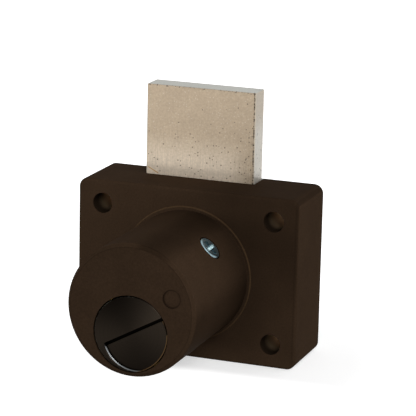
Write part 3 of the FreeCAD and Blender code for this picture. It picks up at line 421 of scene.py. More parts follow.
# painted shade at both mouths of the four holes, painted light on the thin coat between
HOLE_MOUTH_SHADE = "#261D15"
HOLE_WALL_LIGHT = "#C9A983"
HOLE_ACROSS = 24.25 * MM
HOLE_UP = 16.75 * MM
HOLE_RADIUS = 2.8 * MM
HOLE_LIP = 0.1 * MM
HOLE_LIP_END = 0.3 * MM
MOUTH_END = 3.0 * MM
HOLE_LIGHT_START = 12.0 * MM
HOLE_LIGHT_END = 14.0 * MM
REAR_MOUTH = 19.0 * MM
folded = add(tree, "VectorMath", {0: place}, operation="ABSOLUTE")
from_hole = reach_from(tree, folded.outputs[0], HOLE_ACROSS, HOLE_UP)
in_hole = band(tree, from_hole, 0.0, HOLE_RADIUS + SOFT, SOFT)
past_lip = add(tree, "MapRange", {"Value": depth, "From Min": HOLE_LIP,
                                  "From Max": HOLE_LIP_END})
far_in = add(tree, "MapRange", {"Value": depth, "From Min": MOUTH_END, "From Max": HOLE_LIGHT_START},
             interpolation_type="SMOOTHSTEP")
rear_mouth = add(tree, "MapRange", {"Value": depth, "From Min": HOLE_LIGHT_END,
                                    "From Max": REAR_MOUTH, "To Min": 1.0, "To Max": 0.0})
hole_light_share = add(tree, "Math", {0: far_in.outputs[0], 1: rear_mouth.outputs[0]},
                 operation="MULTIPLY")
hole_light_and_shade = add(tree, "Mix", {0: hole_light_share.outputs[0], 6: linear(HOLE_MOUTH_SHADE),
                                7: linear(HOLE_WALL_LIGHT)}, data_type="RGBA")
hole_share = add(tree, "Math", {0: in_hole, 1: past_lip.outputs[0]}, operation="MULTIPLY")
holed = add(tree, "Mix", {0: hole_share.outputs[0], 6: cased.outputs[2],
                          7: hole_light_and_shade.outputs[2]}, data_type="RGBA")

# painted shade in the corner of the dimple; the coat's peel moves gloss and relief
DIMPLE_SHADE = "#1C140E"
DIMPLE_ACROSS = 11.05 * MM
DIMPLE_UP = 4.4 * MM
DIMPLE_RADIUS = 2.45 * MM
DIMPLE_DEPTH = 0.4 * MM
RING_WIDTH = 0.25 * MM
RING_OVER = 0.03 * MM
RING_FADE = 0.20 * MM
RING_SHARE = 0.55
from_dimple = reach_from(tree, place, DIMPLE_ACROSS, DIMPLE_UP)
dimple_ring = band(tree, from_dimple, DIMPLE_RADIUS - RING_WIDTH, DIMPLE_RADIUS + RING_OVER,
                   RING_FADE)
sunk = band(tree, depth, BOSS_FRONT + SOFT, BOSS_FRONT + DIMPLE_DEPTH + SKIN, SHARP)
dimple_edge = add(tree, "Math", {0: dimple_ring, 1: sunk}, operation="MULTIPLY")
dimple_shade = add(tree, "Math", {0: dimple_edge.outputs[0], 1: RING_SHARE},
                  operation="MULTIPLY")
dimpled = add(tree, "Mix", {0: dimple_shade.outputs[0], 6: holed.outputs[2],
                            7: linear(DIMPLE_SHADE)}, data_type="RGBA")
gloss = add(tree, "MapRange", {"Value": peel.outputs[0], "To Min": COAT_SMOOTH,
                               "To Max": COAT_ROUGH})
relief = add(tree, "Bump", {"Height": peel.outputs[0], "Strength": PEEL_STRENGTH,
                            "Distance": PEEL_HEIGHT})
feed_shader(tree, shader, dimpled, gloss, relief)
shader.inputs["Specular IOR Level"].default_value = COAT_GLOSS
shader.inputs["Specular Tint"].default_value = COAT_GLOSS_TINT
dress(coat, "housing")


# Bolt: a cold-drawn steel bar under nickel plate, brushed along its travel. Each face
# has its own painted light tone, the front the warmest; the front is rubbed bright where
# the bolt leaves the case. Brush lines are drawn coarser than real ones, so they show.
NICKEL_FRONT_LIT = "#AA9983"
NICKEL_TOP_AND_REST_LIT = "#A9A9A1"
NICKEL_SIDE_LIT_HIGH = "#B0A595"
NICKEL_SIDE_LIT_LOW = "#BDB8AE"
NICKEL_RUBBED = "#D6C7B3"
NICKEL_METALLIC = 0.7
NICKEL_SMOOTH = 0.30
NICKEL_ROUGH = 0.46
BOLT_BEVEL = 0.2 * MM
BOLT_RIGHT = 14.15 * MM
CASE_TOP = 23.15 * MM
BRUSH_LINE = 0.25 * MM
BRUSH_DRAWN_OUT = (1.0, 1.0, 0.04)
BRUSH_STRENGTH = 0.25
BRUSH_DEPTH = 0.02 * MM
NICKEL_GRAIN = 0.6 * MM
NICKEL_PATCH = 5.0 * MM
SIDE_TOP_DOWN_TO = 20.0 * MM
SIDE_FOOT_UP_TO = 12.0 * MM
RUBBED_HEIGHT = 13.0 * MM
RUBBED_RIGHT_TO = 5.0 * MM
RUBBED_AT_RIGHT = 0.05


def box_of(name):
    """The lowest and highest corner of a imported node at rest, in metres."""
    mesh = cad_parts[name].data
    points = np.empty(len(mesh.vertices) * 3)
    mesh.vertices.foreach_get("co", points)
    points = points.reshape(-1, 3)
    return points.min(axis=0), points.max(axis=0)


bolt_low, bolt_high = box_of("bolt")
bolt_front = bolt_low[1]
bolt_top = bolt_high[2]
nickel, tree, place, shader = new_material("brushed_nickel_plate")
spot = add(tree, "SeparateXYZ", {0: place})
front = add(tree, "MapRange", {"Value": spot.outputs["Y"], "From Min": bolt_front + SOFT,
                               "From Max": bolt_front + BOLT_BEVEL, "To Min": 1.0,
                               "To Max": 0.0})
drawn = add(tree, "Mapping", {"Vector": place, "Scale": BRUSH_DRAWN_OUT})
brush = add(tree, "TexNoise", {"Vector": drawn.outputs[0], "Scale": 1 / BRUSH_LINE,
                               "Detail": 3.0})
grain = add(tree, "TexNoise", {"Vector": place, "Scale": 1 / NICKEL_GRAIN, "Detail": 4.0,
                               "Roughness": 0.75})
patches = add(tree, "TexNoise", {"Vector": place, "Scale": 1 / NICKEL_PATCH, "Detail": 2.0})
# painted light per face: warmest on the front, side lighter to its foot, top and rest alike
side_foot = add(tree, "MapRange", {"Value": spot.outputs["Z"],
                                   "From Min": CASE_TOP + SIDE_TOP_DOWN_TO,
                                   "From Max": CASE_TOP + SIDE_FOOT_UP_TO},
                interpolation_type="SMOOTHSTEP")
bolt_side_light = add(tree, "Mix", {0: side_foot.outputs[0], 6: linear(NICKEL_SIDE_LIT_HIGH),
                                7: linear(NICKEL_SIDE_LIT_LOW)}, data_type="RGBA")
on_side = add(tree, "MapRange", {"Value": spot.outputs["X"], "From Min": BOLT_RIGHT - SKIN,
                                 "From Max": BOLT_RIGHT - SOFT})
side_and_top_lit = add(tree, "Mix", {0: on_side.outputs[0], 6: linear(NICKEL_TOP_AND_REST_LIT),
                          7: bolt_side_light.outputs[2]}, data_type="RGBA")
faces_lit = add(tree, "Mix", {0: front.outputs[0], 6: side_and_top_lit.outputs[2], 7: linear(NICKEL_FRONT_LIT)},
             data_type="RGBA")
low_down = add(tree, "MapRange", {"Value": spot.outputs["Z"], "From Min": CASE_TOP,
                                  "From Max": CASE_TOP + RUBBED_HEIGHT, "To Min": 1.0,
                                  "To Max": 0.0}, interpolation_type="SMOOTHSTEP")
leftward = add(tree, "MapRange", {"Value": spot.outputs["X"], "From Min": RUBBED_RIGHT_TO,
                                  "From Max": BOLT_RIGHT, "To Min": 1.0,
                                  "To Max": RUBBED_AT_RIGHT},
               interpolation_type="SMOOTHSTEP")
rubbed = add(tree, "Math", {0: low_down.outputs[0], 1: leftward.outputs[0]},
             operation="MULTIPLY")
rubbed_front = add(tree, "Math", {0: rubbed.outputs[0], 1: front.outputs[0]},
                   operation="MULTIPLY")
worn = add(tree, "Mix", {0: rubbed_front.outputs[0], 6: faces_lit.outputs[2],
                         7: linear(NICKEL_RUBBED)}, data_type="RGBA")

# the bolt's mottle: grain, brush lines that fade upwards, slow patches and a dull line
# at the case's mouth multiply the colour
GRAIN_SPREAD = 0.12
GRAIN_MOTTLE = 0.09
BRUSH_MOTTLE = 0.14
BRUSH_AT_FOOT = 0.8
BRUSH_HIGH_UP = 0.15
BRUSH_FADE = 18.0 * MM
PATCH_MOTTLE = 0.04
DULL_LINE_FOOT = 1.4 * MM
DULL_LINE_TOP = 2.2 * MM
DULL_LINE_FADE = 0.9 * MM
DULL_LINE_TONE = 0.90
fine = add(tree, "MapRange", {"Value": grain.outputs[0], "From Min": 0.5 - GRAIN_SPREAD,
                              "From Max": 0.5 + GRAIN_SPREAD, "To Min": 1 - GRAIN_MOTTLE,
                              "To Max": 1 + GRAIN_MOTTLE})
lines = add(tree, "MapRange", {"Value": brush.outputs[0], "From Min": 0.5 - NOISE_SPREAD,
                               "From Max": 0.5 + NOISE_SPREAD, "To Min": 1 - BRUSH_MOTTLE,
                               "To Max": 1 + BRUSH_MOTTLE})
streaked = add(tree, "MapRange", {"Value": spot.outputs["Z"], "From Min": CASE_TOP,
                                  "From Max": CASE_TOP + BRUSH_FADE,
                                  "To Min": BRUSH_AT_FOOT, "To Max": BRUSH_HIGH_UP})
some_lines = add(tree, "Mix", {0: streaked.outputs[0], 2: 1.0, 3: lines.outputs[0]})
slow = add(tree, "MapRange", {"Value": patches.outputs[0], "From Min": 0.5 - NOISE_SPREAD,
                              "From Max": 0.5 + NOISE_SPREAD, "To Min": 1 - PATCH_MOTTLE,
                              "To Max": 1 + PATCH_MOTTLE})
both = add(tree, "Math", {0: fine.outputs[0], 1: some_lines.outputs[0]}, operation="MULTIPLY")
wear = add(tree, "Math", {0: both.outputs[0], 1: slow.outputs[0]}, operation="MULTIPLY")
mouth_line = band(tree, spot.outputs["Z"], CASE_TOP + DULL_LINE_FOOT, CASE_TOP + DULL_LINE_TOP,
                  DULL_LINE_FADE)
dulled = add(tree, "MapRange", {"Value": mouth_line, "To Min": 1.0, "To Max": DULL_LINE_TONE})
mottle = add(tree, "Math", {0: wear.outputs[0], 1: dulled.outputs[0]}, operation="MULTIPLY")
mottled = add(tree, "Mix", {0: 1.0, 6: worn.outputs[2], 7: mottle.outputs[0]},
              data_type="RGBA", blend_type="MULTIPLY")

# the bolt's pits: some cells of a Voronoi pattern have a dark dot, fewer of them towards
# the top left; a dot's size is a share of its cell
PIT_CELL = 0.85 * MM
PIT_LEAST = 0.12
PIT_MOST = 0.30
PIT_EDGE = 0.06
PIT_SHARE = 0.72
PIT_SLANT = -0.5
BARE_AT_FOOT = 0.30
BARE_AT_TOP = 0.98
BARE_BELOW_TOP = 4.0 * MM
cells = add(tree, "TexVoronoi", {"Vector": place, "Scale": 1 / PIT_CELL})
chance = add(tree, "SeparateColor", {0: cells.outputs["Color"]})
slant = add(tree, "Math", {0: spot.outputs["X"], 1: PIT_SLANT, 2: spot.outputs["Z"]},
            operation="MULTIPLY_ADD")
bare = add(tree, "MapRange", {"Value": slant.outputs[0],
                              "From Min": CASE_TOP + PIT_SLANT * BOLT_RIGHT,
                              "From Max": bolt_top - BARE_BELOW_TOP,
                              "To Min": BARE_AT_FOOT, "To Max": BARE_AT_TOP})
chosen = add(tree, "Math", {0: chance.outputs[0], 1: bare.outputs[0]}, operation="GREATER_THAN")
dot_size = add(tree, "MapRange", {"Value": chance.outputs[1], "To Min": PIT_LEAST,
                                  "To Max": PIT_MOST})
in_dot = add(tree, "Math", {0: dot_size.outputs[0], 1: cells.outputs["Distance"]},
             operation="SUBTRACT")
dot = add(tree, "MapRange", {"Value": in_dot.outputs[0], "From Max": PIT_EDGE,
                             "To Max": PIT_SHARE})
pits = add(tree, "Math", {0: chosen.outputs[0], 1: dot.outputs[0]}, operation="MULTIPLY")

# the bolt's nicks: a dotted dark line inside the front's right edge and fewer dashes on
# the top edge; how far in from the edges they lie is in widths of the bevel
NICK_COLOUR = "#3F342A"
NICK_LENGTH = 0.55 * MM
RIGHT_NICKS_IN = 2.4
RIGHT_NICKS_OUT = 1.1
RIGHT_NICKS_FADE = 0.12 * MM
RIGHT_DASH_START = 0.46
RIGHT_DASH_FULL = 0.54
BETWEEN_DASHES = 0.15
TOP_NICKS_IN = 2.0
TOP_NICKS_FADE = 0.10 * MM
TOP_DASH_START = 0.56
TOP_DASH_FULL = 0.61
TOP_DASH_SHARE = 0.9
on_bevel = band(tree, spot.outputs["Y"], bolt_front, bolt_front + BOLT_BEVEL, SOFT)
right_edge = band(tree, spot.outputs["X"], BOLT_RIGHT - RIGHT_NICKS_IN * BOLT_BEVEL,
                  BOLT_RIGHT - RIGHT_NICKS_OUT * BOLT_BEVEL, RIGHT_NICKS_FADE)
top_edge = band(tree, spot.outputs["Z"], bolt_top - TOP_NICKS_IN * BOLT_BEVEL, bolt_top,
                TOP_NICKS_FADE)
dashes = add(tree, "TexNoise", {"Vector": place, "Scale": 1 / NICK_LENGTH, "Detail": 3.0,
                                "Roughness": 0.7})
right_dashes = add(tree, "MapRange", {"Value": dashes.outputs[0],
                                      "From Min": RIGHT_DASH_START,
                                      "From Max": RIGHT_DASH_FULL,
                                      "To Min": BETWEEN_DASHES})
top_dashes = add(tree, "MapRange", {"Value": dashes.outputs[0], "From Min": TOP_DASH_START,
                                    "From Max": TOP_DASH_FULL, "To Max": TOP_DASH_SHARE})
right_nicks = add(tree, "Math", {0: right_edge, 1: right_dashes.outputs[0]},
                  operation="MULTIPLY")
top_nicks = add(tree, "Math", {0: top_edge, 1: top_dashes.outputs[0]}, operation="MULTIPLY")
either = add(tree, "Math", {0: right_nicks.outputs[0], 1: top_nicks.outputs[0]},
             operation="MAXIMUM")
nicks = add(tree, "Math", {0: either.outputs[0], 1: on_bevel}, operation="MULTIPLY")
marks = add(tree, "Math", {0: nicks.outputs[0], 1: pits.outputs[0]}, operation="MAXIMUM")

# light specks lie on the bolt's front, and its right bevel has a painted highlight; pits
# and nicks go over both
NICKEL_SPECK = "#CDC3B4"
NICKEL_EDGE_HIGHLIGHT = "#C8BDAA"
SPECK_CELL = 0.8 * MM
SPECK_CORE = 0.08
SPECK_EDGE = 0.24
SPECK_SHARE = 0.45
HIGHLIGHT_OUT = 0.2
specks = add(tree, "TexVoronoi", {"Vector": place, "Scale": 1 / SPECK_CELL})
speck = add(tree, "MapRange", {"Value": specks.outputs["Distance"], "From Min": SPECK_CORE,
                               "From Max": SPECK_EDGE, "To Min": SPECK_SHARE,
                               "To Max": 0.0})
speck_front = add(tree, "Math", {0: speck.outputs[0], 1: front.outputs[0]},
                  operation="MULTIPLY")
specked = add(tree, "Mix", {0: speck_front.outputs[0], 6: mottled.outputs[2],
                            7: linear(NICKEL_SPECK)}, data_type="RGBA")
edge_highlight = band(tree, spot.outputs["X"], BOLT_RIGHT - BOLT_BEVEL,
                   BOLT_RIGHT - HIGHLIGHT_OUT * BOLT_BEVEL, SOFT)
front_edge_highlight = add(tree, "Math", {0: edge_highlight, 1: on_bevel}, operation="MULTIPLY")
edge_highlighted = add(tree, "Mix", {0: front_edge_highlight.outputs[0], 6: specked.outputs[2],
                          7: linear(NICKEL_EDGE_HIGHLIGHT)}, data_type="RGBA")
marked = add(tree, "Mix", {0: marks.outputs[0], 6: edge_highlighted.outputs[2], 7: linear(NICK_COLOUR)},
             data_type="RGBA")

# the bolt's scratch: a thin slanting line at the foot of the front's left side
SCRATCH_COLOUR = "#B98F52"
SCRATCH_MIDDLE = (-14.8 * MM, 0, 24.25 * MM)
SCRATCH_SLOPE = math.radians(27)
SCRATCH_HALF_LENGTH = 1.5 * MM
SCRATCH_END_FADE = 0.3 * MM
SCRATCH_HALF_WIDTH = 0.07 * MM
SCRATCH_SIDE_FADE = 0.10 * MM
from_middle = add(tree, "VectorMath", {0: place, 1: SCRATCH_MIDDLE}, operation="SUBTRACT")
turned = add(tree, "Mapping", {"Vector": from_middle.outputs[0],
                               "Rotation": (0, -SCRATCH_SLOPE, 0)})
line = add(tree, "SeparateXYZ", {0: turned.outputs[0]})
in_length = band(tree, line.outputs["X"], -SCRATCH_HALF_LENGTH, SCRATCH_HALF_LENGTH,
                 SCRATCH_END_FADE)
in_width = band(tree, line.outputs["Z"], -SCRATCH_HALF_WIDTH, SCRATCH_HALF_WIDTH,
                SCRATCH_SIDE_FADE)
scratch = add(tree, "Math", {0: in_length, 1: in_width}, operation="MULTIPLY")
scratch_front = add(tree, "Math", {0: scratch.outputs[0], 1: front.outputs[0]},
                    operation="MULTIPLY")
scratched = add(tree, "Mix", {0: scratch_front.outputs[0], 6: marked.outputs[2],
                              7: linear(SCRATCH_COLOUR)}, data_type="RGBA")
gloss = add(tree, "MapRange", {"Value": grain.outputs[0], "To Min": NICKEL_SMOOTH,
                               "To Max": NICKEL_ROUGH})
relief = add(tree, "Bump", {"Height": mottle.outputs[0], "Strength": BRUSH_STRENGTH,
                            "Distance": BRUSH_DEPTH})
feed_shader(tree, shader, scratched, gloss, relief)
shader.inputs["Metallic"].default_value = NICKEL_METALLIC
dress(nickel, "bolt")


# Plug: a turned steel plug, blackened. Its lathe lines are drawn coarser than real ones,
# and the two soft fans of light that they throw across the face are drawn into its
# colour: the right one is the stronger, and both are weaker on the sunk half.
BLACK_OXIDE = "#211C17"
PLUG_SMOOTH = 0.28
PLUG_ROUGH = 0.45
FAN_ANGLE = math.radians(20)
FAN_WEIGHT = 0.60
BETWEEN_FANS = -0.15
STRONG_ANGLE = math.radians(40)
STRONG_WEIGHT = 0.30
FAN_AT_RIM = 0.71
SUNK_FAN = 0.5
FAN_POWER = 2.0
LATHE_LINE = 0.25 * MM
LATHE_MOTTLE = 0.12
LATHE_STRENGTH = 0.15
LATHE_DEPTH = 0.02 * MM
SLOT_ANGLE = math.radians(29)
BORE_DROP = -6.15 * MM
SUNK_BELOW = -0.2 * MM
UPPER_ABOVE = 0.1 * MM

plug_low, plug_high = box_of("slotted_plug")
head_radius = plug_high[0]
face = plug_low[1]
black, tree, place, shader = new_material("blackened_turned_steel")
spot = add(tree, "SeparateXYZ", {0: place})
in_slot_frame = add(tree, "VectorRotate", {"Vector": place, "Center": (0, 0, BORE_DROP),
                                           "Angle": SLOT_ANGLE}, rotation_type="Y_AXIS")
local = add(tree, "SeparateXYZ", {0: in_slot_frame.outputs[0]})
over_slot = add(tree, "Math", {0: local.outputs["Z"], 1: -BORE_DROP}, operation="ADD")
upper = add(tree, "MapRange", {"Value": over_slot.outputs[0], "From Min": SUNK_BELOW,
                               "From Max": UPPER_ABOVE})
raised = add(tree, "Math", {0: spot.outputs["Z"], 1: -BORE_DROP}, operation="ADD")
angle = add(tree, "Math", {0: raised.outputs[0], 1: spot.outputs["X"]}, operation="ARCTAN2")
doubled = add(tree, "Math", {0: angle.outputs[0], 1: 2.0, 2: -2.0 * FAN_ANGLE},
              operation="MULTIPLY_ADD")
two_fans = add(tree, "Math", {0: doubled.outputs[0]}, operation="COSINE")
aside = add(tree, "Math", {0: angle.outputs[0], 1: STRONG_ANGLE}, operation="SUBTRACT")
strong_side = add(tree, "Math", {0: aside.outputs[0]}, operation="COSINE")
even_fans = add(tree, "Math", {0: two_fans.outputs[0], 1: FAN_WEIGHT, 2: BETWEEN_FANS},
                operation="MULTIPLY_ADD")
fans = add(tree, "Math", {0: strong_side.outputs[0], 1: STRONG_WEIGHT,
                          2: even_fans.outputs[0]}, operation="MULTIPLY_ADD")
radius = reach_from(tree, place, 0, BORE_DROP)
outward = add(tree, "MapRange", {"Value": radius, "From Max": head_radius,
                                 "To Max": FAN_AT_RIM})
half_share = add(tree, "MapRange", {"Value": upper.outputs[0], "To Min": SUNK_FAN})
strength = add(tree, "Math", {0: outward.outputs[0], 1: half_share.outputs[0]},
               operation="MULTIPLY")
spread = add(tree, "Math", {0: fans.outputs[0], 1: strength.outputs[0], 2: 1.0},
             operation="MULTIPLY_ADD")
glow = add(tree, "Math", {0: spread.outputs[0], 1: FAN_POWER}, operation="POWER")
fanned = add(tree, "Mix", {0: 1.0, 6: linear(BLACK_OXIDE), 7: glow.outputs[0]},
             data_type="RGBA", blend_type="MULTIPLY")
outwards_only = add(tree, "CombineXYZ", {0: radius})
rings = add(tree, "TexNoise", {"Vector": outwards_only.outputs[0], "Scale": 1 / LATHE_LINE,
                               "Detail": 3.0})
ringed = add(tree, "MapRange", {"Value": rings.outputs[0], "From Min": 0.5 - NOISE_SPREAD,
                                "From Max": 0.5 + NOISE_SPREAD, "To Min": 1 - LATHE_MOTTLE,
                                "To Max": 1 + LATHE_MOTTLE})
shaded = add(tree, "Mix", {0: 1.0, 6: fanned.outputs[2], 7: ringed.outputs[0]},
             data_type="RGBA", blend_type="MULTIPLY")

# the plug's mouth: a painted highlight on the bevel of the sunk half, at its left
MOUTH_HIGHLIGHT = "#747778"
STEP_ALONG = 0.6 * MM
STEP_BELOW = 1.4 * MM
STEP_RADIUS = 8.6 * MM
STEP_BEVEL = 0.5 * MM
STEP_DEPTH = 1.0 * MM
MOUTH_WIDTH = 0.35
MOUTH_FADE = 0.06 * MM
MOUTH_LEFT = -7.0 * MM
step_spot = add(tree, "VectorMath", {0: in_slot_frame.outputs[0],
                                     1: (-STEP_ALONG, 0, STEP_BELOW)}, operation="ADD")
from_step = reach_from(tree, step_spot.outputs[0], 0, BORE_DROP)
mouth = band(tree, from_step, STEP_RADIUS + SHARP, STEP_RADIUS + MOUTH_WIDTH * STEP_BEVEL,
             MOUTH_FADE)
mouth_depth = band(tree, spot.outputs["Y"], face + SKIN, face + STEP_BEVEL, SOFT)
to_left = add(tree, "MapRange", {"Value": local.outputs["X"], "From Min": 0.0,
                                 "From Max": MOUTH_LEFT})
on_mouth = add(tree, "Math", {0: mouth, 1: mouth_depth}, operation="MULTIPLY")
left_mouth_highlight = add(tree, "Math", {0: on_mouth.outputs[0], 1: to_left.outputs[0]},
                 operation="MULTIPLY")
mouth_highlighted = add(tree, "Mix", {0: left_mouth_highlight.outputs[0], 6: shaded.outputs[2],
                            7: linear(MOUTH_HIGHLIGHT)}, data_type="RGBA")

# the plug's rim: a few rubbed flecks at the left, and a painted tan highlight along the
# crescent relief at the right
RIM_FLECK = "#5C5A52"
FLECK = 0.8 * MM
FLECK_START = 0.46
FLECK_FULL = 0.60
FLECK_SHARE = 0.8
RIM_WIDTH = 0.25 * MM
RIM_OVER = 1.0 * MM
FLECKED_FROM = 3.0 * MM
FLECKED_TO = -2.0 * MM
EDGE_TAN_HIGHLIGHT = "#4C3A26"
RELIEF_LEFT = 0.95 * MM
RELIEF_UP = 0.25 * MM
RELIEF_RADIUS = 10.6 * MM
TAN_IN = 0.22 * MM
speckle = add(tree, "TexNoise", {"Vector": place, "Scale": 1 / FLECK, "Detail": 3.0})
at_rim = band(tree, radius, head_radius - RIM_WIDTH, head_radius + RIM_OVER, SOFT)
flecks = add(tree, "MapRange", {"Value": speckle.outputs[0], "From Min": FLECK_START,
                                "From Max": FLECK_FULL, "To Max": FLECK_SHARE})
rim_left = add(tree, "MapRange", {"Value": spot.outputs["X"], "From Min": FLECKED_FROM,
                                  "From Max": FLECKED_TO})
rim = add(tree, "Math", {0: at_rim, 1: flecks.outputs[0]}, operation="MULTIPLY")
rim_share = add(tree, "Math", {0: rim.outputs[0], 1: rim_left.outputs[0]},
                operation="MULTIPLY")
rubbed = add(tree, "Mix", {0: rim_share.outputs[0], 6: mouth_highlighted.outputs[2],
                           7: linear(RIM_FLECK)}, data_type="RGBA")
from_relief = reach_from(tree, place, -RELIEF_LEFT, BORE_DROP + RELIEF_UP)
tan_highlight = band(tree, from_relief, RELIEF_RADIUS - TAN_IN, RELIEF_RADIUS - SHARP, SOFT)
low_half = add(tree, "MapRange", {"Value": upper.outputs[0], "To Min": 1.0, "To Max": 0.0})
tan_highlight_share = add(tree, "Math", {0: tan_highlight, 1: low_half.outputs[0]}, operation="MULTIPLY")
tan_highlighted = add(tree, "Mix", {0: tan_highlight_share.outputs[0], 6: rubbed.outputs[2],
                           7: linear(EDGE_TAN_HIGHLIGHT)}, data_type="RGBA")

# painted shade in the crescent relief and in the slot below the sunk half's floor
RELIEF_EDGE = 0.03 * MM
RELIEF_SHADE_TONE = 0.05
SLOT_SHADE_TONE = 0.08
slot_mouth = face + STEP_DEPTH + SOFT
relief_shade = add(tree, "MapRange", {"Value": from_relief,
                                     "From Min": RELIEF_RADIUS - RELIEF_EDGE,
                                     "From Max": RELIEF_RADIUS, "To Min": 1.0,
                                     "To Max": RELIEF_SHADE_TONE})
slot_shade = add(tree, "MapRange", {"Value": spot.outputs["Y"], "From Min": slot_mouth,
                                 "From Max": slot_mouth + SKIN, "To Min": 1.0,
                                 "To Max": SLOT_SHADE_TONE})
painted_shade = add(tree, "Math", {0: relief_shade.outputs[0], 1: slot_shade.outputs[0]},
                  operation="MULTIPLY")
shade_painted = add(tree, "Mix", {0: 1.0, 6: tan_highlighted.outputs[2], 7: painted_shade.outputs[0]},
               data_type="RGBA", blend_type="MULTIPLY")
gloss = add(tree, "MapRange", {"Value": rings.outputs[0], "To Min": PLUG_SMOOTH,
                               "To Max": PLUG_ROUGH})
relief = add(tree, "Bump", {"Height": rings.outputs[0], "Strength": LATHE_STRENGTH,
                            "Distance": LATHE_DEPTH})
feed_shader(tree, shader, shade_painted, gloss, relief)
shader.inputs["Metallic"].default_value = 1.0
dress(black, "slotted_plug")


# Side screw: a cold-headed steel screw under bluish zinc plate, driven home in its
# recess. It has a white painted highlight along the cross, in patches, and it is dull
# in small spots between the arms.
SCREW_ZINC = "#8FA5AC"
SCREW_DULL = "#7A9198"
CROSS_HIGHLIGHT = "#B6C1C1"
SCREW_SMOOTH = 0.20
SCREW_ROUGH = 0.40
SCREW_LEAN = math.radians(44.7)
CROSS_ARM = 0.36 * MM
CROSS_REACH = 2.3 * MM
CROSS_FADE = 0.1 * MM
DULL_SPOT = 0.8 * MM
RUB_MARK = 0.3 * MM
HIGHLIGHT_PATCH_START = 0.35
HIGHLIGHT_PATCH_FULL = 0.60
HIGHLIGHT_PATCH_LEAST = 0.35
RUB_STRENGTH = 0.3
RUB_DEPTH = 0.03 * MM

screw_low, screw_high = box_of("side_screw")
screw_depth = (screw_low[1] + screw_high[1]) / 2
plate, tree, place, shader = new_material("bluish_zinc_plate")
upright = add(tree, "VectorRotate", {"Vector": place, "Angle": SCREW_LEAN},
              rotation_type="Y_AXIS")
head_spot = add(tree, "SeparateXYZ", {0: upright.outputs[0]})
lengthwise = add(tree, "Math", {0: head_spot.outputs["Y"], 1: screw_depth},
                 operation="SUBTRACT")
across = head_spot.outputs["Z"]
along = lengthwise.outputs[0]
across_arm = band(tree, across, -CROSS_ARM, CROSS_ARM, CROSS_FADE)
across_reach = band(tree, across, -CROSS_REACH, CROSS_REACH, CROSS_FADE)
along_arm = band(tree, along, -CROSS_ARM, CROSS_ARM, CROSS_FADE)
along_reach = band(tree, along, -CROSS_REACH, CROSS_REACH, CROSS_FADE)
one_arm = add(tree, "Math", {0: across_arm, 1: along_reach}, operation="MULTIPLY")
other_arm = add(tree, "Math", {0: along_arm, 1: across_reach}, operation="MULTIPLY")
cross = add(tree, "Math", {0: one_arm.outputs[0], 1: other_arm.outputs[0]},
            operation="MAXIMUM")
patches = add(tree, "TexNoise", {"Vector": place, "Scale": 1 / DULL_SPOT, "Detail": 4.0})
dull_share = add(tree, "MapRange", {"Value": patches.outputs[0],
                                    "From Min": 0.5 - GRAIN_SPREAD,
                                    "From Max": 0.5 + GRAIN_SPREAD})
zinc = add(tree, "Mix", {0: dull_share.outputs[0], 6: linear(SCREW_ZINC),
                         7: linear(SCREW_DULL)}, data_type="RGBA")
rub = add(tree, "TexNoise", {"Vector": place, "Scale": 1 / RUB_MARK, "Detail": 3.0})
patchy_highlight = add(tree, "MapRange", {"Value": rub.outputs[0], "From Min": HIGHLIGHT_PATCH_START,
                                   "From Max": HIGHLIGHT_PATCH_FULL, "To Min": HIGHLIGHT_PATCH_LEAST})
# the painted highlight: white, in patches along the cross arms
cross_highlight_share = add(tree, "Math", {0: cross.outputs[0], 1: patchy_highlight.outputs[0]},
                  operation="MULTIPLY")
cross_highlighted = add(tree, "Mix", {0: cross_highlight_share.outputs[0], 6: zinc.outputs[2],
                            7: linear(CROSS_HIGHLIGHT)}, data_type="RGBA")
gloss = add(tree, "MapRange", {"Value": rub.outputs[0], "To Min": SCREW_SMOOTH,
                               "To Max": SCREW_ROUGH})
relief = add(tree, "Bump", {"Height": rub.outputs[0], "Strength": RUB_STRENGTH,
                            "Distance": RUB_DEPTH})
feed_shader(tree, shader, cross_highlighted, gloss, relief)
shader.inputs["Metallic"].default_value = 1.0
dress(plate, "side_screw")


# Back cover: a stamped sheet of zinc-plated steel, let in flush with the case's back.
# Its colour drifts in patches, as zinc does, and fine rolling marks run up and down it.
# Its marks and the next metals' are drawn coarser than real ones, so that they show.
PATCH_START = 0.35
PATCH_FULL = 0.70
MARK_DARK = 0.82
MARK_LIGHT = 1.12
MARK_STRENGTH = 0.3
DRAWN_ALONG_Z = (1.0, 1.0, 0.05)


